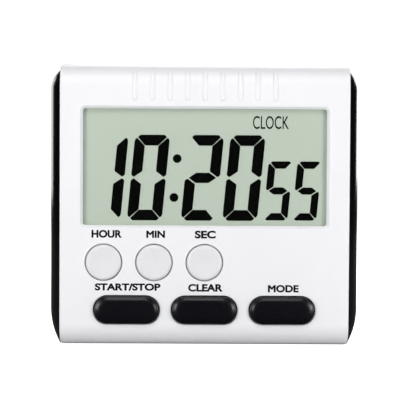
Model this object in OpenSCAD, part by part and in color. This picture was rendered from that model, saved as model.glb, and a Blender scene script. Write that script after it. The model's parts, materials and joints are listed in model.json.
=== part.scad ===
// Digital lab timer: a white front cover wraps a dark case with bulged sides.
// Z is up, X runs across the front, and Y runs from the display to the back.
// Every module draws its piece with the front face at y = 0; seat() moves it to the part's own frame.

/* [Case] */
// Overall width across the bulged sides
case_w = 85; // [84:0.5:104]
// Overall height
case_h = 77; // [75:0.5:94]
// Depth from the front face to the flat back, when the cell needs no more
case_depth = 19; // [18.8:0.2:24]
// Wall of the front cover and of the case
wall = 1.8; // [1.6:0.1:2.1]
// How far each dark side stands out beyond the front cover
side_show = 3; // [2.4:0.1:3.6]
// Radius of the bulged side's section
bulge_r = 12.2; // [11:0.1:15]
// Radius of the case's top corners, seen from the front
top_corner_r = 7; // [6:0.5:9]
// Radius of the case's long bottom corners, seen from the front
bottom_corner_r = 20; // [16:0.5:24]
// Height at which the bottom corners begin
bottom_corner_z = 9.7; // [8:0.1:12]

/* [Front cover] */
// Radius of the rolled top and bottom
roll_r = 6; // [5:0.5:8]
// How far back the cover wraps
cover_d = 11.5; // [10:0.5:13]
// Corner radius of the cover, seen from the front
cover_corner_r = 1.3; // [0.8:0.1:2.5]
// Number of grip ribs at the top
rib_count = 9; // [5:1:11]
// Distance between grip ribs
rib_pitch = 4.78; // [3:0.1:5.5]
// Width of a grip rib
rib_w = 1.5; // [1:0.1:2]
// Length of a grip rib, seen from the front
rib_len = 8; // [6:0.5:9]
// Height of a grip rib above the face
rib_proud = 0.35; // [0.2:0.05:0.6]
// Distance from the top edge to the ribs
rib_top = 2.1; // [1.5:0.1:3]

/* [Display] */
// White border at each side of the window
window_side = 6.25; // [6:0.25:12]
// White border above the window
window_top = 12.2; // [12:0.1:20]
// Height of the window's lower edge
window_bottom = 33; // [32.8:0.1:36]
// Depth of the window's rim in front of the lens
lens_set_back = 1; // [0.8:0.1:1.2]
// Thickness of each glass plate of the display
glass_t = 1.1; // [0.7:0.1:1.2]
// Thickness of each polarising film
film_t = 0.2; // [0.1:0.05:0.3]

/* [Keys] */
// Radius of a round key
round_key_r = 4.85; // [4:0.05:5.2]
// Distance between round keys
round_key_pitch = 13.75; // [12:0.25:15]
// Height of the round keys' centres
round_key_z = 22.9; // [22:0.1:23.1]
// How far a round key stands out
round_key_proud = 0.9; // [0.5:0.1:1.4]
// Height of a long key
long_key_h = 7.5; // [6:0.1:8]
// Gap between two long keys
long_key_gap = 3.5; // [3:0.1:6]
// Border from the cover's side to the first long key
long_key_side = 9.4; // [9.4:0.1:12]
// Height of the long keys' centres
long_key_z = 9.9; // [9.6:0.1:10.2]
// How far a long key stands out
long_key_proud = 1.6; // [1:0.1:2]
// How far a key travels when pressed
key_travel = 0.9; // [0.5:0.05:1]

/* [Battery] */
// Diameter of the cell
cell_dia = 10.5; // [10.5:0.1:12]
// Length of the cell, with its button
cell_len = 44.5; // [30:0.5:46]
// Room for the spring behind the cell
spring_room = 5; // [4:0.5:7]
// Turns of the spring
spring_turns = 4; // [3:1:6]
// Distance from the cell's centre to the top of the case
cell_from_top = 21; // [20.5:0.5:24]

/* [Stand, magnets and buzzer] */
// Width of the flip-out stand
stand_w = 28; // [20:1:30]
// Thickness of the stand
stand_t = 2.2; // [1.8:0.1:2.4]
// Angle that the stand opens to
stand_open = 50; // [30:1:60]
// Radius of the stand's hinge pins
hinge_pin_r = 0.9; // [0.7:0.05:1]
// Diameter of each magnet
magnet_dia = 12; // [8:0.5:13]
// Thickness of each magnet
magnet_t = 2; // [1.5:0.1:2.4]
// Diameter of the buzzer's brass plate
buzzer_dia = 15; // [12:0.5:16]
// Radius of the round part of the hanging hole
hang_r = 3.1; // [2.9:0.1:3.4]
// Width of the hanging hole's slot
hang_slot_w = 2.8; // [2:0.1:3]

/* [Screws and clearances] */
// Radius of the case screws' thread
screw_r = 1; // [0.8:0.1:1.2]
// Radius of the board screws' thread
board_screw_r = 0.8; // [0.6:0.1:1]
// Gap round a piece that is laid into another
lay_gap = 0.1; // [0.05:0.05:0.15]
// Gap round a moving key, door or stand
move_gap = 0.25; // [0.15:0.05:0.3]
// Gap round a turning pin
pin_gap = 0.07; // [0.04:0.01:0.1]

/* [Hidden] */
$fn = 48;

// Small amount that a cut runs past a face
past = 1;

// Depths, from the front face to the back: display, board, battery bay, cell and door
film_y = wall + 0.15;
glass_y = film_y + film_t;
rear_glass_y = glass_y + glass_t;
reflector_y = rear_glass_y + glass_t;
stack_end_y = reflector_y + film_t;
frame_back_t = 1;
board_y = stack_end_y + frame_back_t + lay_gap;
board_t = 1;
board_end_y = board_y + board_t;
bay_floor_y = board_y + lay_gap + 0.15;
bay_floor_t = 1;
cell_r = cell_dia / 2;
cell_y = bay_floor_y + bay_floor_t + cell_r + 0.1;
door_t = 1.3;
cell_to_door = 0.2;
case_d = max(case_depth, cell_y + cell_r + cell_to_door + door_t);
door_y = case_d - door_t;

// Case
half_w = case_w / 2;
front_w = case_w - 2 * side_show;
back_in = case_d - wall;
top_corner_z = case_h - top_corner_r;
// Top of the case under the cover's roll, and the cavity inside it
cavity_top = case_h - 2 * wall - lay_gap - 0.7;
cavity_bottom = 2 * wall + lay_gap;
cavity_front_half = front_w / 2 - wall - 0.6;
cavity_rear_half = cavity_front_half - 2.3;
cavity_step_y = 8;

// Display, seen from the front
window_w = front_w - 2 * window_side;
window_h = case_h - window_top - window_bottom;
window_mid_z = window_bottom + window_h / 2;
window_corner_r = 0.7;
window_draft = 0.3;
lens_lip = 1.3;
glass_side = 2;
glass_above = 1.2;
ledge_h = 2.9;
frame_rim = 1.3;
board_low_z = cavity_bottom + 0.5;
glass_half = window_w / 2 + glass_side;
glass_low_z = window_bottom - ledge_h;
glass_high_z = window_bottom + window_h + glass_above;
frame_low_z = glass_low_z - lay_gap - 0.7;
strip_z = glass_low_z + 0.3;
strip_h = 1.8;

// Keys
round_hole_r = round_key_r + move_gap;
flange_w = 1;
flange_t = 0.8;
flange_y = wall + lay_gap;
long_row_w = front_w - 2 * long_key_side;
long_key_w = (long_row_w - 2 * long_key_gap) / 3;
long_key_pitch = long_key_w + long_key_gap;
round_first_x = -window_w / 2 + 5.75;
sheet_t = 0.8;
sheet_y = board_y - sheet_t;
dome_high = 1.3;
dome_y = sheet_y - dome_high;
dome_r = 3;
dome_top_r = 2.3;
dome_skin = 0.4;
pill_r = 1.3;
pill_t = 0.15;
pill_y = board_y - key_travel - pill_t - 0.02;
round_key_shoulder = 0.8;
long_key_shoulder = 1.1;

// Screws and posts
boss_r = 2.5;
corner_x = cavity_front_half - boss_r - 0.1;
corner_low_z = cavity_bottom + boss_r + 0.3;
corner_high_z = cavity_top - boss_r - 0.2;
corner_spots = [
    [-corner_x, corner_low_z], [corner_x, corner_low_z],
    [-corner_x, corner_high_z], [corner_x, corner_high_z]
];
board_low_half = corner_x - boss_r - 0.5;
boss_end_y = 8;
tube_r = 3.2;
head_r = 1.9;
head_h = 1.4;
head_seat_y = 10;
thread_gap = 0.02;
post_r = 1.6;
row_mid_z = (round_key_z + long_key_z) / 2 + 0.35;
board_spots = [
    [round_first_x + round_key_pitch / 2, row_mid_z],
    [round_first_x + 3 * round_key_pitch, row_mid_z + 4],
    [round_first_x + 4.2 * round_key_pitch, row_mid_z + 4]
];

// Battery
cell_z = case_h - cell_from_top;
bay_half_h = cell_r + move_gap;
plate_t = 0.4;
bay_len = cell_len + spring_room + 2 * plate_t + 1.4;
bay_half = bay_len / 2;
bay_wall = 1.2;
board_high_z = cell_z - bay_half_h - bay_wall - 4;
door_ledge = 1.15;
door_half_h = bay_half_h + door_ledge;
door_half = bay_half + door_ledge;
door_low_z = cell_z - door_half_h;
door_high_z = cell_z + door_half_h;
hook_x = 15;
hook_w = 6;
hook_t = 0.8;
hook_y = back_in - 0.2 - hook_t;
hook_reach = 1.2;
hook_relief = 0.45;
latch_w = 8;
tail_w = 2;
tail_y = cell_y - 3;
tail_reach = bay_half_h + bay_wall + 1.6;
cell_left_x = -bay_half + 0.5 + plate_t + spring_room;
cell_nub_r = 1.9;
cell_nub_l = 1.2;
sleeve_t = 0.1;
cell_right_x = cell_left_x + cell_len;
spring_wire_r = 0.3;

// Stand
hinge_z = cell_z - bay_half_h - 8;
hinge_y = case_d - stand_t / 2 - 0.2;
stand_low_z = 5.5;
stand_recess_y = case_d - stand_t - 0.5;
stand_floor_t = 1.5;
stand_half = stand_w / 2;
stand_recess_half = stand_half + move_gap;
recess_wall = 1.5;
recess_high_z = hinge_z + stand_t / 2 + 0.4;
hinge_block_w = 3;
pin_reach = 1.2;
notch_r = 6;

// Magnets and buzzer
magnet_x = half_w - 15;
magnet_z = hinge_z - 7.5;
magnet_y = case_d - magnet_t - lay_gap;
magnet_floor_t = 1.5;
buzzer_x = half_w - 16.5;
buzzer_z = 17;
buzzer_r = buzzer_dia / 2;
buzzer_t = 0.3;
ceramic_t = 0.2;
buzzer_gap = 0.7;
buzzer_y = back_in - buzzer_gap - buzzer_t;
sound_hole_r = 0.8;
sound_pitch = 3;
hang_z = cell_z + door_half_h + 4.2;
hang_top_z = hang_z + hang_r + 1.2;
wire_r = 0.45;

// Parts on the back of the board
chip_x = 18;
chip_z = window_bottom + 3;
chip_high = 1.3;
chip_r = 4.5;
crystal_r = 1;
crystal_len = 6;
resistor_pitch = 4.5;
resistor_size = [2, 0.8, 1.2];
capacitor_pitch = 5;
capacitor_size = [1.6, 0.5, 1];

// Depth of the middle of the whole part, keys included
mid_y = (case_d - long_key_proud) / 2;

// ---- helpers ----

module seat() {
    translate([0, -mid_y, 0]) children();
}

// Raises a front-view outline (x, z) from depth y0 to y1
module along_y(y0, y1) {
    translate([0, y1, 0]) rotate([90, 0, 0]) linear_extrude(y1 - y0) children();
}

// Raises a side-view outline (y, z) from x0 to x1
module along_x(x0, x1) {
    translate([x0, 0, 0]) rotate([90, 0, 90]) linear_extrude(x1 - x0) children();
}

// Turns an (r, y) outline about the Y line through (x, z)
module about_y(x, z) {
    translate([x, 0, z]) rotate([-90, 0, 0]) rotate_extrude() children();
}

module peg(x, z, r, y0, y1) {
    translate([x, y0, z]) rotate([-90, 0, 0]) cylinder(r = r, h = y1 - y0);
}

module block(x0, x1, y0, y1, z0, z1) {
    translate([x0, y0, z0]) cube([x1 - x0, y1 - y0, z1 - z0]);
}

module round_rect(w, h, r) {
    square([w - 2 * r, h], center = true);
    square([w, h - 2 * r], center = true);
    for (sx = [-1, 1], sz = [-1, 1])
        translate([sx * (w / 2 - r), sz * (h / 2 - r)]) circle(r);
}

module stadium(w, h) {
    square([w - h, h], center = true);
    for (s = [-1, 1])
        translate([s * (w - h) / 2, 0]) circle(h / 2);
}

// A point on the Bezier curve of four points
function curve_point(p, t) =
    pow(1 - t, 3) * p[0] + 3 * pow(1 - t, 2) * t * p[1]
    + 3 * (1 - t) * t * t * p[2] + pow(t, 3) * p[3];
function unit(v) = v / norm(v);

// A closed tube along a list of points, for wires and the spring
module tube(points, r, sides = 8) {
    last = len(points) - 1;
    rings = [
        for (i = [0 : last])
            let (
                ahead = unit(points[min(i + 1, last)] - points[max(i - 1, 0)]),
                side = unit(cross(ahead, [0.15, 0.2, 1])),
                up = cross(side, ahead)
            )
            for (k = [0 : sides - 1])
                points[i] + r * (cos(360 * k / sides) * side + sin(360 * k / sides) * up)
    ];
    walls = [
        for (i = [0 : last - 1], k = [0 : sides - 1], half = [0, 1])
            let (a = i * sides + k, b = i * sides + (k + 1) % sides)
            half == 0 ? [a, b, b + sides] : [a, b + sides, a + sides]
    ];
    first_cap = [for (k = [sides - 1 : -1 : 0]) k];
    last_cap = [for (k = [0 : sides - 1]) last * sides + k];
    polyhedron(rings, concat([first_cap, last_cap], walls));
}

module wire(p) {
    steps = 14;
    tube([for (i = [0 : steps]) curve_point(p, i / steps)], wire_r);
}

// ---- case ----

// (r, y) outline of the bulged side, out to radius r, drawn in by t
module bulge(r, t = 0) {
    core = r - bulge_r;
    if (core > 0) square([core, case_d - t]);
    intersection() {
        square([r - t, case_d - t]);
        translate([core, case_d / 2]) circle(bulge_r - t);
    }
}

// A quarter turn of the bulged side, from +X down to -Z
module bulge_corner(x, z, r) {
    translate([x, 0, z]) rotate([-90, 0, 0]) rotate_extrude(angle = 90) bulge(r);
}

module case_right() {
    top_x = half_w - top_corner_r;
    low_x = half_w - bottom_corner_r;
    translate([0, 0, bottom_corner_z])
        linear_extrude(top_corner_z - bottom_corner_z) bulge(half_w);
    translate([0, 0, top_corner_z]) mirror([0, 0, 1])
        bulge_corner(top_x, 0, top_corner_r);
    along_x(0, top_x)
        translate([0, top_corner_z]) rotate([0, 0, 90]) mirror([0, 1]) bulge(top_corner_r);
    bulge_corner(low_x, bottom_corner_z, bottom_corner_r);
    block(0, low_x, 0, case_d, -past, bottom_corner_z);
}

module case_outside() {
    difference() {
        union() {
            case_right();
            mirror([1, 0, 0]) case_right();
        }
        block(-half_w, half_w, -past, case_d + past, -case_h, 0);
    }
}

// (y, z) outline of the rolled front, drawn in by t, back to depth d
module rolled(t, d) {
    translate([roll_r, t]) square([d - roll_r, case_h - 2 * t]);
    translate([t, roll_r]) square([roll_r - t, case_h - 2 * roll_r]);
    for (z = [roll_r, case_h - roll_r])
        translate([roll_r, z]) circle(roll_r - t);
}

// The place that the front cover is laid into
module cover_pocket() {
    reach = front_w / 2 + lay_gap;
    along_x(-reach, reach) difference() {
        translate([-past, -past]) square([cover_d + lay_gap + past, case_h + 2 * past]);
        rolled(wall + lay_gap, cover_d + 2 * past);
    }
}

module cavity() {
    translate([0, 0, bottom_corner_z])
        linear_extrude(top_corner_z - 3 - bottom_corner_z)
            for (s = [0, 1]) mirror([s, 0]) bulge(half_w, wall);
    block(-cavity_front_half, cavity_front_half, -past, cavity_step_y, cavity_bottom, cavity_top);
    block(-cavity_rear_half, cavity_rear_half, -past, back_in, cavity_bottom, cavity_top);
}

module inner_walls() {
    // battery bay
    block(-bay_half - bay_wall, bay_half + bay_wall, bay_floor_y, back_in + lay_gap,
        cell_z - bay_half_h - bay_wall, cell_z + bay_half_h + bay_wall);
    // stand recess
    block(-stand_recess_half - recess_wall, stand_recess_half + recess_wall,
        stand_recess_y - stand_floor_t, back_in + lay_gap,
        cavity_bottom - lay_gap, recess_high_z + recess_wall);
    // blocks that hold the stand's pins
    for (s = [-1, 1])
        translate([s * (stand_recess_half + hinge_block_w / 2), 0, 0])
            block(-hinge_block_w / 2, hinge_block_w / 2, hinge_y - 2.2, back_in + lay_gap,
                hinge_z - 2.6, recess_high_z + recess_wall);
    // magnet cups
    for (s = [-1, 1])
        peg(s * magnet_x, magnet_z, magnet_dia / 2 + 1.3, magnet_y - magnet_floor_t,
            back_in + lay_gap);
    // screw tubes
    for (p = corner_spots) peg(p[0], p[1], tube_r, boss_end_y + lay_gap, back_in + lay_gap);
    // buzzer cup
    peg(buzzer_x, buzzer_z, buzzer_r + lay_gap + 1, buzzer_y - 1, back_in + lay_gap);
}

module case_cuts() {
    // battery bay and the ledge that the door lies on
    block(-bay_half, bay_half, bay_floor_y + bay_floor_t, case_d + past,
        cell_z - bay_half_h, cell_z + bay_half_h);
    block(-door_half - lay_gap, door_half + lay_gap, door_y - 0.05, case_d + past,
        door_low_z - lay_gap, door_high_z + lay_gap);
    // slots for the door's hooks and its latch
    for (s = [-1, 1])
        translate([s * hook_x, 0, 0]) {
            block(-hook_w / 2 - move_gap, hook_w / 2 + move_gap, hook_y - 1.4, back_in,
                door_low_z - hook_reach - move_gap, cell_z - bay_half_h + past);
            block(-hook_w / 2 - move_gap, hook_w / 2 + move_gap, back_in - past, door_y,
                cell_z - bay_half_h - hook_relief, cell_z - bay_half_h + past);
        }
    block(-latch_w / 2 - move_gap, latch_w / 2 + move_gap, hook_y - move_gap, back_in,
        cell_z + bay_half_h - past, door_high_z + hook_reach);
    // slots for the tails of the two contacts
    for (x = [-bay_half + 0.3, bay_half - 0.3 - plate_t])
        block(x - lay_gap, x + plate_t + lay_gap, tail_y - tail_w / 2 - lay_gap,
            tail_y + tail_w / 2 + lay_gap, cell_z - bay_half_h - bay_wall - past, cell_z);
    // stand recess, its finger notch and its pin holes
    block(-stand_recess_half, stand_recess_half, stand_recess_y, case_d + past,
        stand_low_z - move_gap, recess_high_z);
    peg(0, stand_low_z, notch_r, stand_recess_y, case_d + past);
    for (s = [0, 1]) mirror([s, 0, 0])
        translate([stand_recess_half - past, hinge_y, hinge_z]) rotate([0, 90, 0])
            cylinder(r = hinge_pin_r + pin_gap, h = pin_reach + move_gap + past);
    // magnets
    for (s = [-1, 1])
        peg(s * magnet_x, magnet_z, magnet_dia / 2 + lay_gap, magnet_y, case_d + past);
    // screws
    for (p = corner_spots) {
        peg(p[0], p[1], screw_r + 0.15, boss_end_y, case_d);
        peg(p[0], p[1], head_r + 0.3, head_seat_y, case_d + past);
    }
    // buzzer cup and sound holes
    peg(buzzer_x, buzzer_z, buzzer_r + lay_gap, buzzer_y - 2, buzzer_y + buzzer_t);
    peg(buzzer_x, buzzer_z, buzzer_r - 1.2, buzzer_y, back_in);
    peg(buzzer_x, buzzer_z, sound_hole_r, buzzer_y, case_d + past);
    for (a = [0 : 60 : 300])
        peg(buzzer_x + sound_pitch * cos(a), buzzer_z + sound_pitch * sin(a), sound_hole_r,
            buzzer_y, case_d + past);
    // hanging hole with its slot
    peg(0, hang_z, hang_r, back_in - past, case_d + past);
    block(-hang_slot_w / 2, hang_slot_w / 2, back_in - past, case_d + past, hang_z,
        hang_top_z - hang_slot_w / 2);
    peg(0, hang_top_z - hang_slot_w / 2, hang_slot_w / 2, back_in - past, case_d + past);
}

module rear_case() {
    color("#16171a") difference() {
        union() {
            difference() {
                case_outside();
                cover_pocket();
                cavity();
            }
            inner_walls();
        }
        case_cuts();
    }
}

// ---- front cover ----

module grip_ribs() {
    rib_mid_z = case_h - rib_top - rib_len / 2;
    intersection() {
        along_x(-front_w / 2, front_w / 2) translate([-rib_proud, 0])
            difference() {
                rolled(0, roll_r + rib_proud);
                translate([rib_proud, 0]) rolled(wall / 2, roll_r + past);
            }
        along_y(-past, roll_r)
            for (i = [0 : rib_count - 1])
                translate([(i - (rib_count - 1) / 2) * rib_pitch, rib_mid_z])
                    rotate([0, 0, 90]) stadium(rib_len, rib_w);
    }
}

module cover_openings() {
    // window: drafted rim, then the rebate for the lens
    along_y(-past, wall + past)
        translate([0, window_mid_z]) round_rect(window_w, window_h, window_corner_r);
    along_y(-past, window_draft)
        translate([0, window_mid_z])
            round_rect(window_w + 2 * window_draft, window_h + 2 * window_draft,
                window_corner_r + window_draft);
    along_y(lens_set_back, wall + past)
        translate([0, window_mid_z])
            round_rect(window_w + 2 * lens_lip, window_h + 2 * lens_lip, window_corner_r);
    // key holes
    for (i = [0 : 2])
        peg(round_first_x + i * round_key_pitch, round_key_z, round_hole_r, -past, wall + past);
    for (i = [-1 : 1])
        along_y(-past, wall + past) translate([i * long_key_pitch, long_key_z])
            stadium(long_key_w + 2 * move_gap, long_key_h + 2 * move_gap);
}

module front_cover() {
    color("#f4f4f6") difference() {
        union() {
            intersection() {
                along_x(-front_w / 2, front_w / 2) difference() {
                    rolled(0, cover_d);
                    rolled(wall, cover_d + past);
                }
                along_y(-past, cover_d + past) translate([0, case_h / 2])
                    round_rect(front_w, case_h, cover_corner_r);
            }
            grip_ribs();
            for (p = corner_spots) peg(p[0], p[1], boss_r, wall - lay_gap, boss_end_y);
            for (p = board_spots) peg(p[0], p[1], post_r, wall - lay_gap, board_y);
        }
        cover_openings();
        for (p = corner_spots)
            peg(p[0], p[1], screw_r + thread_gap, wall + 1, boss_end_y + past);
        for (p = board_spots)
            peg(p[0], p[1], board_screw_r + thread_gap, wall + 0.6, board_y + past);
    }
}

// ---- display ----

module sheet(half, low_z, high_z, y, t) {
    block(-half, half, y, y + t, low_z, high_z);
}

module display_lens() {
    gap = lens_lip - lay_gap;
    color("#dfe8e4", 0.35) along_y(lens_set_back, wall - 0.05)
        translate([0, window_mid_z])
            round_rect(window_w + 2 * gap, window_h + 2 * gap, window_corner_r);
}

module front_polariser() {
    color("#b9c3b4", 0.5)
        sheet(glass_half - 0.4, window_bottom - 0.3, glass_high_z - 0.4, film_y, film_t);
}

module front_glass() {
    color("#cfd8cf", 0.4) sheet(glass_half, glass_low_z, glass_high_z, glass_y, glass_t);
}

module rear_glass() {
    color("#cfd8cf", 0.4)
        sheet(glass_half, window_bottom - 0.1, glass_high_z, rear_glass_y, glass_t);
}

module reflector() {
    color("#c3cfbe")
        sheet(glass_half - 0.4, window_bottom, glass_high_z - 0.4, reflector_y, film_t);
}

module display_frame() {
    rim_x = glass_half + lay_gap;
    out_x = rim_x + frame_rim;
    color("#e8e8e4") difference() {
        block(-out_x, out_x, film_y, board_y - lay_gap, frame_low_z, glass_high_z + 0.9);
        block(-rim_x, rim_x, 0, stack_end_y + lay_gap / 2, glass_low_z - lay_gap,
            glass_high_z + lay_gap);
        // slot for the contact strip, and an opening behind the reflector
        block(-glass_half + 1.9, glass_half - 1.9, 0, board_y, strip_z - lay_gap,
            strip_z + strip_h + lay_gap);
        block(-glass_half + 4, glass_half - 4, 0, board_y, window_bottom + 3, glass_high_z - 4);
        // clear of the screw bosses
        for (p = corner_spots) peg(p[0], p[1], boss_r + lay_gap, 0, board_y);
    }
}

module contact_strip() {
    color("#e58aa0")
        block(-glass_half + 2, glass_half - 2, rear_glass_y, board_y, strip_z, strip_z + strip_h);
}

// ---- board ----

// The board is narrower at the bottom, where it passes between the two low screw bosses
module circuit_board() {
    board_half = cavity_front_half - 0.5;
    color("#2f6b3c") difference() {
        union() {
            block(-board_low_half, board_low_half, board_y, board_end_y, board_low_z, board_high_z);
            block(-board_half, board_half, board_y, board_end_y,
                corner_low_z + boss_r + 0.5, board_high_z);
        }
        for (p = board_spots) peg(p[0], p[1], board_screw_r + 0.15, 0, case_d);
    }
}

module chip_cover() {
    core_r = chip_r - chip_high;
    color("#101010") about_y(chip_x, chip_z) translate([0, board_end_y]) {
        square([core_r, chip_high]);
        intersection() {
            translate([core_r, 0]) circle(chip_high);
            square(chip_r);
        }
    }
}

module clock_crystal() {
    color("#c8c8cc") translate([-8, board_end_y + crystal_r, chip_z + 3]) rotate([0, 90, 0])
        cylinder(r = crystal_r, h = crystal_len);
}

module small_components() {
    color("#222222") for (i = [0 : 4])
        translate([i * resistor_pitch - 28, board_end_y, chip_z - 2]) cube(resistor_size);
    color("#8a6f4d") for (i = [0 : 2])
        translate([i * capacitor_pitch - 26, board_end_y, chip_z + 3]) cube(capacitor_size);
}

// A screw whose head's seat is at depth y and whose tip points to the front
module screw(x, z, y, r, head, high, tip_y) {
    difference() {
        union() {
            peg(x, z, head, y, y + high);
            peg(x, z, r, tip_y, y + high / 2);
        }
        for (a = [0, 90])
            translate([x, y + high, z]) rotate([0, a, 0])
                cube([head * 1.2, high, head * 0.28], center = true);
    }
}

module board_screws() {
    color("#b9bcc0") for (p = board_spots)
        screw(p[0], p[1], board_end_y, board_screw_r, board_screw_r * 1.9, 0.9, wall + 1);
}

module case_screws() {
    color("#b9bcc0") for (p = corner_spots)
        screw(p[0], p[1], head_seat_y, screw_r, head_r, head_h, wall + 1.4);
}

// ---- keys ----

round_keys = [for (i = [0 : 2]) [round_first_x + i * round_key_pitch, round_key_z]];
long_keys = [for (i = [-1 : 1]) [i * long_key_pitch, long_key_z]];
keys = concat(round_keys, long_keys);

module keypad_sheet() {
    color("#8f9296") difference() {
        block(-board_low_half, board_low_half, sheet_y, board_y, board_low_z, glass_low_z - 1.6);
        for (k = keys) peg(k[0], k[1], dome_r, 0, case_d);
        for (p = board_spots) peg(p[0], p[1], post_r + 0.3, 0, case_d);
    }
}

// Rubber dome under key k: a sloped skin with a post in its middle
module dome(k) {
    color("#9a9da1") about_y(k[0], k[1]) polygon([
        [0, dome_y], [dome_top_r, dome_y], [dome_r, sheet_y], [dome_r, board_y],
        [dome_r - dome_skin, board_y], [dome_r - dome_skin, sheet_y],
        [dome_top_r - dome_skin, dome_y + dome_skin], [pill_r, dome_y + dome_skin],
        [pill_r, pill_y], [0, pill_y]
    ]);
}

module pill(k) {
    color("#1b1b1b") peg(k[0], k[1], pill_r, pill_y, pill_y + pill_t);
}

// (r, y) outline of a key's edge: proud of the face by high, with a round shoulder
module key_edge(r, high, shoulder) {
    translate([0, -high]) square([r - shoulder, flange_y + high + flange_t]);
    translate([0, shoulder - high]) square([r, flange_y + high - shoulder + flange_t]);
    translate([r - shoulder, shoulder - high]) circle(shoulder);
}

// A key's flange, trimmed where the cover's roll or the display frame leaves it less room
module key_flange() {
    intersection() {
        along_y(flange_y, flange_y + flange_t) children();
        along_x(-front_w / 2, front_w / 2) rolled(flange_y, cover_d);
        block(-half_w, half_w, 0, case_d, 0, frame_low_z - move_gap);
    }
}

module key_stem(k) {
    peg(k[0], k[1], dome_top_r - 0.3, flange_y + flange_t - lay_gap, dome_y);
}

module round_key(k) {
    color("#eeeef0") {
        about_y(k[0], k[1]) key_edge(round_key_r, round_key_proud, round_key_shoulder);
        key_flange() translate(k) circle(round_key_r + flange_w);
        key_stem(k);
    }
}

module long_key(k) {
    r = long_key_h / 2;
    run = (long_key_w - long_key_h) / 2;
    color("#1b1b1f") {
        for (s = [-1, 1])
            about_y(k[0] + s * run, k[1]) key_edge(r, long_key_proud, long_key_shoulder);
        for (s = [0, 1])
            along_x(k[0] - run, k[0] + run)
                translate([0, k[1]]) mirror([0, s]) rotate([0, 0, 90]) mirror([0, 1])
                    key_edge(r, long_key_proud, long_key_shoulder);
        key_flange() translate(k) stadium(long_key_w + 2 * flange_w, long_key_h + 2 * flange_w);
        key_stem(k);
    }
}

// ---- buzzer ----

module buzzer_plate() {
    color("#c9a24a") peg(buzzer_x, buzzer_z, buzzer_r, buzzer_y, buzzer_y + buzzer_t);
}

module buzzer_ceramic() {
    color("#e9e6da")
        peg(buzzer_x, buzzer_z, buzzer_r * 0.66, buzzer_y - ceramic_t, buzzer_y);
}

// Two wires from the buzzer to the back of the board
module buzzer_wires() {
    from_y = buzzer_y - ceramic_t - wire_r;
    to = [buzzer_x - 4, board_end_y + wire_r, buzzer_z + 14];
    for (i = [0, 1])
        color(i == 0 ? "#c02020" : "#202020")
            wire([
                [buzzer_x - 2 + 3 * i, from_y, buzzer_z + 2],
                [buzzer_x - 2 + 3 * i, from_y - 3, buzzer_z + 6],
                to + [3 * i, 4, -6],
                to + [3 * i, 0, 0]
            ]);
}

// ---- battery ----

module battery_can() {
    color("#c9ccd0") translate([cell_left_x, cell_y, cell_z]) rotate([0, 90, 0]) {
        cylinder(r = cell_r - sleeve_t, h = cell_len - cell_nub_l);
        cylinder(r = cell_nub_r, h = cell_len);
    }
}

module battery_sleeve() {
    trim = 0.8;
    color("#3d6f8f") translate([cell_left_x + trim, cell_y, cell_z]) rotate([0, 90, 0])
        difference() {
            cylinder(r = cell_r, h = cell_len - cell_nub_l - 2 * trim);
            translate([0, 0, -past]) cylinder(r = cell_r - sleeve_t, h = cell_len + past);
        }
}

module battery_spring() {
    wide = 3.6;
    narrow = 2.2;
    turn_steps = 16;
    steps = spring_turns * turn_steps;
    low_x = cell_left_x - spring_room + spring_wire_r + lay_gap;
    high_x = cell_left_x - spring_wire_r - lay_gap;
    color("#c8ccd0") tube([
        for (i = [0 : steps])
            let (t = i / steps, a = 360 * i / turn_steps, r = wide + (narrow - wide) * t)
            [low_x + (high_x - low_x) * t, cell_y + r * cos(a), cell_z + r * sin(a)]
    ], spring_wire_r);
}

// A contact plate with a tail that reaches out of the bay
module contact_plate(x) {
    block(x, x + plate_t, cell_y - 4, cell_y + 4, cell_z - bay_half_h + 0.3, cell_z + 4);
    block(x, x + plate_t, tail_y - tail_w / 2, tail_y + tail_w / 2, cell_z - tail_reach, cell_z);
}

module spring_plate() {
    color("#c8ccd0") contact_plate(-bay_half + 0.3);
}

module positive_contact() {
    color("#c8ccd0") {
        contact_plate(bay_half - 0.3 - plate_t);
        translate([cell_right_x + lay_gap, cell_y, cell_z]) rotate([0, 90, 0])
            cylinder(r = 1.6, h = bay_half - 0.3 - cell_right_x - lay_gap);
    }
}

// Two wires from the contacts' tails to the back of the board
module battery_wires() {
    from_z = cell_z - tail_reach + wire_r + 0.2;
    to_z = cell_z - bay_half_h - bay_wall - 7;
    for (s = [-1, 1]) {
        x = s * (bay_half - 0.3 - plate_t - wire_r);
        color(s == 1 ? "#c02020" : "#202020")
            wire([
                [x, tail_y, from_z],
                [x, tail_y, from_z - 4],
                [x - s * 2, board_end_y + 3, to_z],
                [x - s * 2, board_end_y + wire_r, to_z - 3]
            ]);
    }
}

module battery_door() {
    color("#16171a") {
        difference() {
            along_y(door_y, case_d) translate([0, cell_z])
                round_rect(2 * door_half, 2 * door_half_h, 1);
            // finger grooves by the latch
            for (i = [-2 : 2])
                block(i * 1.6 - 0.4, i * 1.6 + 0.4, case_d - 0.4, case_d + past,
                    cell_z + 1.5, cell_z + 5);
        }
        for (s = [-1, 1]) translate([s * hook_x, 0, 0]) {
            block(-hook_w / 2, hook_w / 2, hook_y, door_y + lay_gap,
                cell_z - bay_half_h + move_gap, cell_z - bay_half_h + move_gap + 1.2);
            block(-hook_w / 2, hook_w / 2, hook_y, hook_y + hook_t,
                door_low_z - hook_reach, cell_z - bay_half_h + move_gap + 1.2);
        }
    }
}

module battery_door_latch() {
    color("#16171a") {
        block(-latch_w / 2, latch_w / 2, hook_y, door_y, cell_z + bay_half_h - 1.5,
            cell_z + bay_half_h - 0.5);
        block(-latch_w / 2, latch_w / 2, hook_y, hook_y + hook_t, cell_z + bay_half_h - 1.5,
            door_high_z + hook_reach - move_gap);
    }
}

// ---- stand and magnets ----

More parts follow.
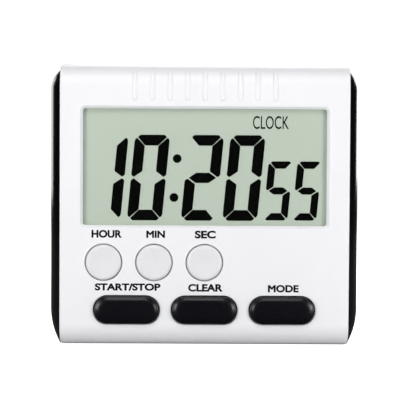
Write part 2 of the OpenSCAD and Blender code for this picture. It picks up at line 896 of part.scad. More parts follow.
module stand() {
    color("#16171a") difference() {
        union() {
            translate([0, hinge_y - stand_t / 2, 0])
                block(-stand_half, stand_half, 0, stand_t, stand_low_z, hinge_z);
            translate([-stand_half, hinge_y, hinge_z]) rotate([0, 90, 0])
                cylinder(r = stand_t / 2, h = stand_w);
            translate([-stand_half - pin_reach, hinge_y, hinge_z]) rotate([0, 90, 0])
                cylinder(r = hinge_pin_r, h = stand_w + 2 * pin_reach);
        }
        // sunk panel on the outer face
        along_y(hinge_y + stand_t / 2 - 0.5, case_d + past)
            translate([0, (stand_low_z + hinge_z) / 2 + 1])
                round_rect(stand_w - 8, hinge_z - stand_low_z - 14, 2);
    }
}

module magnet(s) {
    color("#8d9095") peg(s * magnet_x, magnet_z, magnet_dia / 2, magnet_y, magnet_y + magnet_t);
}

// ---- nodes ----

seat() front_cover();
seat() rear_case();
seat() display_lens();
seat() front_polariser();
seat() front_glass();
seat() rear_glass();
seat() reflector();
seat() display_frame();
seat() contact_strip();
seat() circuit_board();
seat() chip_cover();
seat() clock_crystal();
seat() small_components();
seat() board_screws();
seat() keypad_sheet();
seat() dome(keys[0]);  // hour_dome
seat() dome(keys[1]);  // minute_dome
seat() dome(keys[2]);  // second_dome
seat() dome(keys[3]);  // start_stop_dome
seat() dome(keys[4]);  // clear_dome
seat() dome(keys[5]);  // mode_dome
seat() pill(keys[0]);  // hour_pill
seat() pill(keys[1]);  // minute_pill
seat() pill(keys[2]);  // second_pill
seat() pill(keys[3]);  // start_stop_pill
seat() pill(keys[4]);  // clear_pill
seat() pill(keys[5]);  // mode_pill
seat() round_key(keys[0]);  // hour_button
seat() round_key(keys[1]);  // minute_button
seat() round_key(keys[2]);  // second_button
seat() long_key(keys[3]);  // start_stop_button
seat() long_key(keys[4]);  // clear_button
seat() long_key(keys[5]);  // mode_button
seat() case_screws();
seat() buzzer_plate();
seat() buzzer_ceramic();
seat() buzzer_wires();
seat() battery_can();
seat() battery_sleeve();
seat() battery_spring();
seat() spring_plate();
seat() positive_contact();
seat() battery_wires();
seat() battery_door();
seat() battery_door_latch();
seat() stand();
seat() magnet(-1);  // left_magnet
seat() magnet(1);  // right_magnet
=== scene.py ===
"""Looks of a digital lab timer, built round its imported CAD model.

The classes hold their sizes in millimetres and model in millimetres. A finished
piece is brought to metres as its last step, so that it lies on the CAD model.
"""

import json
import logging
import math
from dataclasses import dataclass, field
from enum import Enum
from typing import Any, Callable, Sequence

import bmesh
import bpy
from mathutils import Matrix, Vector

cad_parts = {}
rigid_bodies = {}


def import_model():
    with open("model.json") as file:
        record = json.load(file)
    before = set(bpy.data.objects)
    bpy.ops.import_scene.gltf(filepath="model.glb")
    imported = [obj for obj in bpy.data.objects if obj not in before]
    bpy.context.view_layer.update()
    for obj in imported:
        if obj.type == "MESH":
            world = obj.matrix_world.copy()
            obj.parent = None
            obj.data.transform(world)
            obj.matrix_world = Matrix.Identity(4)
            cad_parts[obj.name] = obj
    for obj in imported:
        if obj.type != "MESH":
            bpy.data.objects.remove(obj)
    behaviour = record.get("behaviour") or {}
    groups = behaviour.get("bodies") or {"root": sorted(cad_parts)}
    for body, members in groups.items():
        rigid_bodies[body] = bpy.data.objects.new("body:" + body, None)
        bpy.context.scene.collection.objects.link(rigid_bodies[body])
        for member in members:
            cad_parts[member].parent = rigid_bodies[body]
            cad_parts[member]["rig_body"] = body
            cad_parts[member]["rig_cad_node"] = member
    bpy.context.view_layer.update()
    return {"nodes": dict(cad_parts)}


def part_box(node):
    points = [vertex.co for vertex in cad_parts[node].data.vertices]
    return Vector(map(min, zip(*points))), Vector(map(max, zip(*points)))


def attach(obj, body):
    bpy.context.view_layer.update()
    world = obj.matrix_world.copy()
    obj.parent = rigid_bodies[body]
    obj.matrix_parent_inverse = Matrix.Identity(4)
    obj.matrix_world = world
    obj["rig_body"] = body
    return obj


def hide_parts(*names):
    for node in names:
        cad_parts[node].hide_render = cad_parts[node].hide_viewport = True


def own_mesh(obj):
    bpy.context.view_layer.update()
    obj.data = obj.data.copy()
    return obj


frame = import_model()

LOG = logging.getLogger("lab_timer")
MM = 0.001
Point = tuple[float, float, float]
KEY_NAMES = ("hour", "minute", "second", "start_stop", "clear", "mode")
Rings = tuple[tuple[float, float], ...]
Socket = bpy.types.NodeSocket


class Pick(Enum):
    """What an edit-mode selection takes."""

    VERTS = "VERT"
    EDGES = "EDGE"
    FACES = "FACE"


class Cut(Enum):
    """How one solid acts on another."""

    TAKE_AWAY = "DIFFERENCE"
    ADD = "UNION"
    KEEP_COMMON = "INTERSECT"


class Body(Enum):
    """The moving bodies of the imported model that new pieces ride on."""

    CASE = "case"
    STAND = "stand"
    DOOR = "battery_door"
    HOUR = "hour_key"
    MINUTE = "minute_key"
    SECOND = "second_key"
    START_STOP = "start_stop_key"
    CLEAR = "clear_key"
    MODE = "mode_key"


# ---------------------------------------------------------------- small tools


def linear(hex_colour: str) -> tuple[float, float, float, float]:
    """Turns an sRGB hex colour into the linear colour that a shader takes.

    Args:
        hex_colour: Six hex digits after a hash sign.

    Returns:
        Red, green, blue and an alpha of one.
    """
    parts = [int(hex_colour[i : i + 2], 16) / 255 for i in (1, 3, 5)]
    curved = [c / 12.92 if c <= 0.04045 else ((c + 0.055) / 1.055) ** 2.4 for c in parts]
    return (curved[0], curved[1], curved[2], 1.0)


def add_node(
    tree: bpy.types.NodeTree,
    kind: str,
    settings: dict[Any, Any] | None = None,
    links: dict[Any, Socket] | None = None,
) -> bpy.types.Node:
    """Adds one node with its settings and its incoming links.

    Args:
        tree: The node tree that takes the node.
        kind: The node's Blender type.
        settings: Properties of the node by name, or values of its inputs by name or number.
        links: Output sockets to join, by the name or number of the input they go to.

    Returns:
        The new node.
    """
    node = tree.nodes.new(kind)
    for key, value in (settings or {}).items():
        if isinstance(key, str) and hasattr(node, key):
            setattr(node, key, value)
        else:
            node.inputs[key].default_value = value
    for key, socket in (links or {}).items():
        tree.links.new(socket, node.inputs[key])
    return node


def only(piece: bpy.types.Object) -> None:
    """Selects one object, makes it active and deselects the rest.

    Args:
        piece: The object.
    """
    bpy.ops.object.select_all(action="DESELECT")
    piece.select_set(True)
    bpy.context.view_layer.objects.active = piece


def settle() -> bpy.types.Object:
    """Applies the place, turn and size of the active object.

    Returns:
        The object.
    """
    piece = bpy.context.active_object
    only(piece)
    bpy.ops.object.transform_apply(location=True, rotation=True, scale=True)
    return piece


def add_shape(make: Callable[..., Any], **settings: Any) -> bpy.types.Object:
    """Adds one of Blender's own shapes.

    Args:
        make: What adds it.
        settings: Its settings by name.

    Returns:
        The shape, with its place, turn and size applied.
    """
    bpy.ops.object.select_all(action="DESELECT")
    make(**settings)
    return settle()


def add_box(low: Sequence[float], high: Sequence[float]) -> bpy.types.Object:
    """Adds a block, as a start for a piece or a cutter.

    Args:
        low: Its lowest corner.
        high: Its highest corner.

    Returns:
        The block.
    """
    middle = [(a + b) / 2 for a, b in zip(low, high)]
    size = [b - a for a, b in zip(low, high)]
    return add_shape(bpy.ops.mesh.primitive_cube_add, size=1, location=middle, scale=size)


def add_peg(x: float, z: float, radius: float, y0: float, y1: float, sides: int = 48) -> bpy.types.Object:
    """Adds a round peg that points along Y, with a flat pair of sides on top and below.

    Args:
        x: Centre across the part.
        z: Height of the centre.
        radius: Radius of the peg.
        y0: Front end.
        y1: Back end.
        sides: Number of sides.

    Returns:
        The peg.
    """
    return add_shape(
        bpy.ops.mesh.primitive_cylinder_add,
        vertices=sides,
        radius=radius,
        depth=y1 - y0,
        location=(x, (y0 + y1) / 2, z),
        rotation=(math.pi / 2, math.pi / sides, 0),
    )


def pick(piece: bpy.types.Object, kind: Pick, test: Callable[[Any], bool]) -> int:
    """Selects parts of the mesh in edit mode by a test on each.

    Args:
        piece: The object, already in edit mode.
        kind: Whether vertices, edges or faces are taken.
        test: Says whether a bmesh vertex, edge or face is taken.

    Returns:
        How many were taken.
    """
    bpy.ops.mesh.select_mode(type=kind.value)
    bpy.ops.mesh.select_all(action="DESELECT")
    mesh = bmesh.from_edit_mesh(piece.data)
    items = {Pick.VERTS: mesh.verts, Pick.EDGES: mesh.edges, Pick.FACES: mesh.faces}[kind]
    taken = 0
    for item in items:
        if test(item):
            item.select_set(True)
            taken += 1
    bmesh.update_edit_mesh(piece.data)
    return taken


def runs_along(edge: bmesh.types.BMEdge, axis: int) -> bool:
    """Says whether an edge is parallel to the X, Y or Z axis (0, 1 or 2)."""
    span = edge.verts[1].co - edge.verts[0].co
    return span.length > 1e-6 and abs(span[axis]) > 0.999 * span.length


def on_plane(edge: bmesh.types.BMEdge, axis: int, place: float, reach: float = 0.01) -> bool:
    """Says whether an edge lies at one place along the X, Y or Z axis (0, 1 or 2)."""
    return all(abs(v.co[axis] - place) < reach for v in edge.verts)


def is_sharp(edge: bmesh.types.BMEdge, angle: float) -> bool:
    """Says whether two faces meet in an edge by more than an angle in radians."""
    return len(edge.link_faces) == 2 and edge.calc_face_angle(0) > angle


def round_edges(piece: bpy.types.Object, test: Callable[[Any], bool], radius: float, steps: int) -> None:
    """Rounds the edges that pass a test.

    Args:
        piece: The object, in object mode.
        test: Says whether a bmesh edge is rounded.
        radius: Radius of the rounding.
        steps: Number of faces across it.
    """
    only(piece)
    bpy.ops.object.mode_set(mode="EDIT")
    if pick(piece, Pick.EDGES, test):
        bpy.ops.mesh.bevel(offset=radius, segments=steps, affect="EDGES", clamp_overlap=False)
    bpy.ops.object.mode_set(mode="OBJECT")


def act(piece: bpy.types.Object, tool: bpy.types.Object, how: Cut) -> None:
    """Cuts a piece with a tool, or joins the two as solids, and removes the tool.

    Args:
        piece: What is changed.
        tool: What changes it.
        how: What the two make.
    """
    only(piece)
    cut = piece.modifiers.new("cut", "BOOLEAN")
    cut.object = tool
    cut.operation = how.value
    cut.solver = "EXACT"
    bpy.ops.object.modifier_apply(modifier=cut.name)
    bpy.data.objects.remove(tool)
    if not piece.data.polygons:
        raise RuntimeError("the cut left nothing of " + piece.name)


def soften(piece: bpy.types.Object, radius: float, steps: int = 2, angle: float = 35) -> None:
    """Rounds every sharp edge with an applied Bevel modifier.

    Args:
        piece: The object.
        radius: Width of the rounding.
        steps: Number of faces across it.
        angle: Edges sharper than this, in degrees, are rounded.
    """
    only(piece)
    edge = piece.modifiers.new("edge", "BEVEL")
    edge.width = radius
    edge.segments = steps
    edge.limit_method = "ANGLE"
    edge.angle_limit = math.radians(angle)
    edge.use_clamp_overlap = False
    edge.miter_outer = "MITER_ARC"
    bpy.ops.object.modifier_apply(modifier=edge.name)


def merge(piece: bpy.types.Object, distance: float = 0.002, flat: float = 0.4) -> None:
    """Merges doubled vertices and dissolves the lines across flat faces.

    Args:
        piece: The object.
        distance: Vertices nearer than this are merged.
        flat: Faces that meet at less than this, in degrees, become one.
    """
    only(piece)
    bpy.ops.object.mode_set(mode="EDIT")
    bpy.ops.mesh.select_all(action="SELECT")
    bpy.ops.mesh.remove_doubles(threshold=distance)
    bpy.ops.mesh.dissolve_limited(angle_limit=math.radians(flat))
    bpy.ops.object.mode_set(mode="OBJECT")


def join(pieces: Sequence[bpy.types.Object]) -> bpy.types.Object:
    """Joins objects into the first one.

    Args:
        pieces: The objects.

    Returns:
        The first one.
    """
    only(pieces[0])
    for piece in pieces:
        piece.select_set(True)
    bpy.ops.object.join()
    return bpy.context.active_object


def twin(piece: bpy.types.Object, offset: Point) -> bpy.types.Object:
    """Copies an object with its own mesh and moves the copy's mesh.

    Args:
        piece: The object.
        offset: How far the copy's mesh moves.

    Returns:
        The copy.
    """
    other = piece.copy()
    other.data = piece.data.copy()
    other.data.transform(Matrix.Translation(offset))
    bpy.context.scene.collection.objects.link(other)
    return other


def copy_of(node: str) -> bpy.types.Object:
    """Copies a CAD node's mesh, merged and in millimetres, so that it can be refined.

    Args:
        node: The CAD node's name.

    Returns:
        The copy.
    """
    source = frame["nodes"][node]
    copy = source.copy()
    copy.data = source.data.copy()
    copy.parent = None
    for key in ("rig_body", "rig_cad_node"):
        if key in copy:
            del copy[key]
    bpy.context.scene.collection.objects.link(copy)
    copy.data.transform(Matrix.Scale(1 / MM, 4))
    merge(copy, 0.003, 0.6)
    return copy


def hand_over(
    piece: bpy.types.Object,
    name: str,
    material: bpy.types.Material,
    body: Body,
    replaces: Sequence[str] = (),
    smooth: float = 30,
) -> bpy.types.Object:
    """Brings a finished piece to metres, dresses it and gives it to its body.

    Args:
        piece: The object, modelled in millimetres.
        name: The piece's plain name.
        material: What it is made of.
        body: The body that it rides on.
        replaces: CAD nodes that it stands for.
        smooth: Angle in degrees below which an edge is shaded smooth.

    Returns:
        The same object.
    """
    only(piece)
    piece.data.transform(Matrix.Scale(MM, 4))
    bpy.ops.object.shade_smooth_by_angle(angle=math.radians(smooth))
    level = piece.modifiers.new("level", "WEIGHTED_NORMAL")
    level.keep_sharp = True
    bpy.ops.object.modifier_apply(modifier=level.name)
    piece.name = name
    piece.data.name = name
    piece.data.materials.clear()
    piece.data.materials.append(material)
    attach(piece, body.value)
    if replaces:
        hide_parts(*replaces)
    LOG.info("%s: %d faces, rides on %s", name, len(piece.data.polygons), body.value)
    return piece


def corners(node: str) -> tuple[Vector, Vector]:
    """Gives the lowest and highest corner of a CAD node in millimetres."""
    low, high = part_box(node)
    return low / MM, high / MM


# ---------------------------------------------------------------- finishes


class Recipe:
    """A material while it is mixed, with the steps that the finishes share."""

    def __init__(self, name: str) -> None:
        """Makes an empty material with its shader and its Object coordinates.

        Args:
            name: The material's plain name.
        """
        self.material = bpy.data.materials.new(name)
        self.material.use_nodes = True
        self.tree = self.material.node_tree
        self.tree.nodes.clear()
        self.shader = add_node(self.tree, "ShaderNodeBsdfPrincipled")
        add_node(self.tree, "ShaderNodeOutputMaterial", links={"Surface": self.shader.outputs[0]})
        self.place = add_node(self.tree, "ShaderNodeTexCoord").outputs["Object"]

    def noise(self, pitch_mm: float, detail: float, place: Socket | None = None, **more: float) -> Socket:
        """Adds a noise.

        Args:
            pitch_mm: About how far apart its spots are.
            detail: How many finer layers it has.
            place: Coordinates to take in place of the Object ones.
            more: Its other inputs by name.

        Returns:
            Its strength.
        """
        settings = {"Scale": 1000 / pitch_mm, "Detail": detail, **more}
        links = {"Vector": place or self.place}
        return add_node(self.tree, "ShaderNodeTexNoise", settings, links).outputs["Fac"]

    def weigh(self, first: Socket, share: float, second: Socket, other: float) -> Socket:
        """Adds two values up by their shares.

        Args:
            first: One value.
            share: Its share.
            second: The other value.
            other: That one's share.

        Returns:
            The sum.
        """
        part = add_node(self.tree, "ShaderNodeMath", {"operation": "MULTIPLY", 1: other}, {0: second})
        settings = {"operation": "MULTIPLY_ADD", 1: share}
        links = {0: first, 2: part.outputs[0]}
        return add_node(self.tree, "ShaderNodeMath", settings, links).outputs[0]

    def colour(self, start: str, end: str, factor: Socket) -> None:
        """Runs the colour between two hex colours.

        Args:
            start: Colour where the factor is none.
            end: Colour where it is one.
            factor: What it follows.
        """
        settings = {"data_type": "RGBA", 6: linear(start), 7: linear(end)}
        mix = add_node(self.tree, "ShaderNodeMix", settings, {0: factor})
        self.tree.links.new(mix.outputs[2], self.shader.inputs["Base Color"])

    def rough(self, low: float, high: float, factor: Socket, start: float = 0.0, end: float = 1.0) -> None:
        """Runs the roughness between two values.

        Args:
            low: Roughness at the start.
            high: Roughness at the end.
            factor: What it follows.
            start: Factor at the start.
            end: Factor at the end.
        """
        settings = {"From Min": start, "From Max": end, "To Min": low, "To Max": high}
        spread = add_node(self.tree, "ShaderNodeMapRange", settings, {"Value": factor})
        self.tree.links.new(spread.outputs[0], self.shader.inputs["Roughness"])

    def bump(self, height: Socket, strength: float, depth_mm: float) -> None:
        """Raises the surface a little.

        Args:
            height: What it follows.
            strength: How strongly it follows it.
            depth_mm: How high it goes.
        """
        settings = {"Strength": strength, "Distance": depth_mm * MM}
        relief = add_node(self.tree, "ShaderNodeBump", settings, {"Height": height})
        self.tree.links.new(relief.outputs[0], self.shader.inputs["Normal"])

    def done(self, **values: float) -> bpy.types.Material:
        """Sets the shader's plain inputs.

        Args:
            values: Values by the input's name, with underscores for spaces.

        Returns:
            The finished material.
        """
        for key, value in values.items():
            self.shader.inputs[key.replace("_", " ")].default_value = value
        return self.material


@dataclass(frozen=True)
class Finish:
    """What the finishes share.

    Attributes:
        name: The material's plain name.
    """

    name: str


@dataclass(frozen=True)
class MouldedPlastic(Finish):
    """Injection moulded plastic: faint flow marks, a fine grain and a satin or gloss skin.

    Attributes:
        light: Colour of the lighter flow marks.
        dark: Colour of the darker ones.
        roughness: Middle of the skin's roughness.
        grain_mm: Spacing of the mould's grain.
        grain_depth_mm: Height of the grain.
        flow_mm: Size of the flow marks.
        coat: Weight of the glossy skin.
        speckle_mm: Spacing of faint pigment specks.
        gloss: How much its bare surface mirrors, with 0.5 as usual.
    """

    light: str
    dark: str
    roughness: float
    grain_mm: float
    grain_depth_mm: float
    flow_mm: float = 18
    coat: float = 0.0
    speckle_mm: float = 0.6
    gloss: float = 0.5

    def make(self) -> bpy.types.Material:
        """Builds the material.

        Returns:
            The material.
        """
        recipe = Recipe(self.name)
        flow = recipe.noise(self.flow_mm, 3.0, Distortion=1.4)
        speck = recipe.noise(self.speckle_mm, 2.0)
        recipe.colour(self.dark, self.light, recipe.weigh(speck, 0.25, flow, 0.75))
        recipe.rough(self.roughness * 0.88, self.roughness * 1.12, flow, 0.3, 0.7)
        recipe.bump(recipe.noise(self.grain_mm, 1.5), 0.6, self.grain_depth_mm)
        values = {"IOR": 1.53, "Coat_Weight": self.coat, "Coat_Roughness": 0.08}
        return recipe.done(Specular_IOR_Level=self.gloss, **values)


@dataclass(frozen=True)
class PlatedMetal(Finish):
    """Plated or drawn metal with a fine direction to its scratches.

    Attributes:
        light: Colour of the clean metal.
        dark: Colour in the scratches.
        roughness: Middle of its roughness.
        scratch_mm: Spacing of the scratches.
        stretch: How much longer than wide they are along X.
        cloud_mm: Size of its faint clouds.
    """

    light: str
    dark: str
    roughness: float
    scratch_mm: float = 0.25
    stretch: float = 8
    cloud_mm: float = 1000 / 220

    def make(self) -> bpy.types.Material:
        """Builds the material.

        Returns:
            The material.
        """
        recipe = Recipe(self.name)
        settings = {"Scale": (1 / self.stretch, 1, 1)}
        long = add_node(recipe.tree, "ShaderNodeMapping", settings, {"Vector": recipe.place})
        scratch = recipe.noise(self.scratch_mm, 4.0, long.outputs[0], Roughness=0.6)
        recipe.colour(self.dark, self.light, recipe.noise(self.cloud_mm, 3.0))
        recipe.rough(self.roughness * 0.6, self.roughness * 1.4, scratch)
        recipe.bump(scratch, 0.35, 0.003)
        return recipe.done(Metallic=1.0)


@dataclass(frozen=True)
class ClearSheet(Finish):
    """A clear or tinted sheet: see-through, glossy, with faint waves and dust.

    Attributes:
        tint: Colour of what light it keeps.
        alpha: How much it hides.
        roughness: Roughness of its skin.
        ior: Its index of refraction.
        wave_mm: Length of the faint waves in the skin.
        pale: Colour where its skin waves.
        dust_mm: Spacing of the dust on it.
    """

    tint: str
    alpha: float
    roughness: float
    ior: float
    wave_mm: float = 14
    pale: str = "#2a2f2b"
    dust_mm: float = 1000 / 1400

    def make(self) -> bpy.types.Material:
        """Builds the material.

        Returns:
            The material.
        """
        recipe = Recipe(self.name)
        wave = recipe.noise(self.wave_mm, 1.0)
        dust = recipe.noise(self.dust_mm, 2.0)
        recipe.rough(self.roughness, self.roughness * 2.2, dust, 0.45, 0.75)
        recipe.colour(self.tint, self.pale, wave)
        recipe.bump(wave, 0.25, 0.02)
        recipe.material.surface_render_method = "BLENDED"
        return recipe.done(Alpha=self.alpha, IOR=self.ior)


@dataclass(frozen=True)
class PatternedSheet(Finish):
    """A flat material with a fine repeating pattern over a mottled ground.

    Attributes:
        ground: Main colour.
        mark: Colour of the pattern.
        pitch_mm: Spacing of the pattern.
        share: How strongly the pattern shows.
        roughness: Middle of its roughness.
        cells: True for a cell pattern, False for stripes along X.
        metallic: How metallic it is.
        mottle_mm: Size of the mottles.
    """

    ground: str
    mark: str
    pitch_mm: float
    share: float
    roughness: float
    cells: bool = True
    metallic: float = 0.0
    mottle_mm: float = 1000 / 45

    def make(self) -> bpy.types.Material:
        """Builds the material.

        Returns:
            The material.
        """
        recipe = Recipe(self.name)
        kind, out = ("Voronoi", "Distance") if self.cells else ("Wave", "Fac")
        settings = {"Scale": 1000 / self.pitch_mm}
        if not self.cells:
            settings = {"bands_direction": "X", "Scale": 50 / self.pitch_mm, "Detail": 1.0}
        links = {"Vector": recipe.place}
        pattern = add_node(recipe.tree, "ShaderNodeTex" + kind, settings, links).outputs[out]
        cloud = recipe.noise(self.mottle_mm, 3.0)
        recipe.colour(self.ground, self.mark, recipe.weigh(cloud, 0.35, pattern, self.share))
        recipe.rough(self.roughness * 0.85, self.roughness * 1.15, cloud)
        recipe.bump(pattern, 0.3, 0.004)
        return recipe.done(Metallic=self.metallic)


class Kit:
    """The finishes of the timer, each made once."""

    def __init__(self) -> None:
        """Makes every finish."""
        # White ABS, moulded in a spark-eroded tool: a soft satin skin with a grain too fine to
        # show (about 0.05 mm), drawn at 0.3 mm, and flow marks a shade apart.
        self.white_abs = MouldedPlastic(
            "white ABS moulded satin", "#f6f6f9", "#f1f1f4", 0.42, 0.3, 0.003
        ).make()
        # Black ABS, moulded in a polished tool: deep gloss with a slight orange-peel.
        self.black_abs = MouldedPlastic(
            "black ABS moulded gloss", "#070708", "#040405", 0.17, 0.9, 0.003, 14, gloss=0.35
        ).make()
        # Black ABS again, on the flip-out stand and door: fine texture that hides scratches.
        self.black_textured = MouldedPlastic(
            "black ABS moulded texture", "#2b2c30", "#212226", 0.45, 0.45, 0.02, 12
        ).make()
        # White key caps, polished: brighter highlights than the cover round them.
        self.white_key = MouldedPlastic(
            "white ABS key polished", "#eaeaed", "#e9e9ec", 0.32, 0.8, 0.0008, 40, gloss=0.4
        ).make()
        # Dark navy-black key caps, polished: soft bright crescents at their rims.
        self.black_key = MouldedPlastic(
            "navy black ABS key polished", "#0c0c13", "#0a0a10", 0.27, 0.7, 0.0012, 30, gloss=0.34
        ).make()
        # Clear acrylic window, moulded: nearly invisible but for a soft sheen.
        self.window = ClearSheet("clear acrylic window", "#1c211d", 0.03, 0.1, 1.49).make()
        # Polarising film on a reflective liquid crystal cell: grey-green with a fine sparkle.
        self.polariser = PatternedSheet(
            "grey-green polarising film", "#c9d6c6", "#c2cfbf", 0.3, 0.5, 0.42
        ).make()
        # Liquid crystal glass: faintly green and glossy.
        self.glass = ClearSheet("display cell glass", "#cfdccf", 0.3, 0.06, 1.52, 14, "#e4ece4").make()
        # Reflector behind the cell: satin aluminised film.
        self.reflector = PatternedSheet(
            "aluminised reflector film", "#c9d2c4", "#b4c0b0", 0.3, 0.5, 0.4, True, 0.3
        ).make()
        # Dyed liquid crystal in its dark state: soft black without gloss.
        self.segment_black = MouldedPlastic(
            "liquid crystal dark state", "#040504", "#010201", 0.6, 0.5, 0.001, gloss=0.02
        ).make()
        # Pad-printed ink: dense black with faint pinholes.
        self.ink = MouldedPlastic(
            "pad printed black ink", "#101015", "#08080b", 0.5, 0.2, 0.003, 3, gloss=0.15
        ).make()
        # Natural ABS frame that holds the display: milky and matt.
        self.frame_plastic = MouldedPlastic(
            "natural ABS frame moulded", "#e9e7dd", "#dfddd2", 0.5, 0.4, 0.006
        ).make()
        # Layered contact rubber: fine pink and dark stripes.
        self.zebra = PatternedSheet(
            "striped contact rubber", "#e08fa2", "#2c2226", 0.35, 0.8, 0.7, False
        ).make()
        # Glass cloth board under green solder mask: a weave about 0.5 mm apart.
        self.board = PatternedSheet(
            "green solder mask on glass cloth", "#1f5c33", "#2f7a45", 0.5, 0.7, 0.35
        ).make()
        # Poured black epoxy over the chip: glossy with soft dimples.
        self.epoxy = MouldedPlastic(
            "black epoxy poured", "#141312", "#0c0b0b", 0.15, 1.6, 0.03, 4, 0.3
        ).make()
        # Small parts on the board: fired ceramic with pale specks.
        self.ceramic_chip = MouldedPlastic(
            "fired ceramic chip", "#4a4038", "#2b2622", 0.45, 0.15, 0.01, 1.5
        ).make()
        # Tin-plated contacts and the crystal's drawn can.
        self.tin = PlatedMetal("tin plated spring steel", "#d2d3d4", "#a6a8ab", 0.28).make()
        # Zinc-plated screws: a little blue and worn.
        self.zinc = PlatedMetal("zinc plated screw steel", "#c4c9d0", "#8d929b", 0.34, 0.2, 2).make()
        # Silicone rubber keypad: matt grey with a faint bloom.
        self.silicone = MouldedPlastic(
            "grey silicone rubber moulded", "#9da0a4", "#8b8e92", 0.75, 0.3, 0.01, 5
        ).make()
        # Carbon-filled contact pills: sooty black.
        self.carbon = MouldedPlastic(
            "carbon filled rubber pill", "#26262a", "#17171a", 0.8, 0.12, 0.012, 1
        ).make()
        # Brass disc of the buzzer, rolled sheet.
        self.brass = PlatedMetal("rolled brass sheet", "#d3b065", "#ad8840", 0.3, 0.2, 10).make()
        # Silvered piezo ceramic: pale with a warm cast.
        self.piezo = PatternedSheet(
            "silver fired piezo ceramic", "#e2dfd3", "#c9c5b6", 0.25, 0.5, 0.35, True, 0.2
        ).make()
        # Red PVC on the wires, extruded.
        self.wire = MouldedPlastic(
            "PVC wire skin extruded", "#b8221e", "#9d1b19", 0.35, 0.5, 0.004, 3, 0.2
        ).make()
        # Shrink sleeve of the cell: printed film with broad faint bands.
        self.sleeve = PatternedSheet(
            "printed shrink sleeve", "#2f5f80", "#3f7799", 6.0, 0.6, 0.25, False
        ).make()
        # Nickel-plated magnet: bright with a grey cast.
        self.nickel = PlatedMetal("nickel plated magnet", "#b6b4b0", "#8c8b89", 0.22, 0.15, 1).make()


# ---------------------------------------------------------------- front


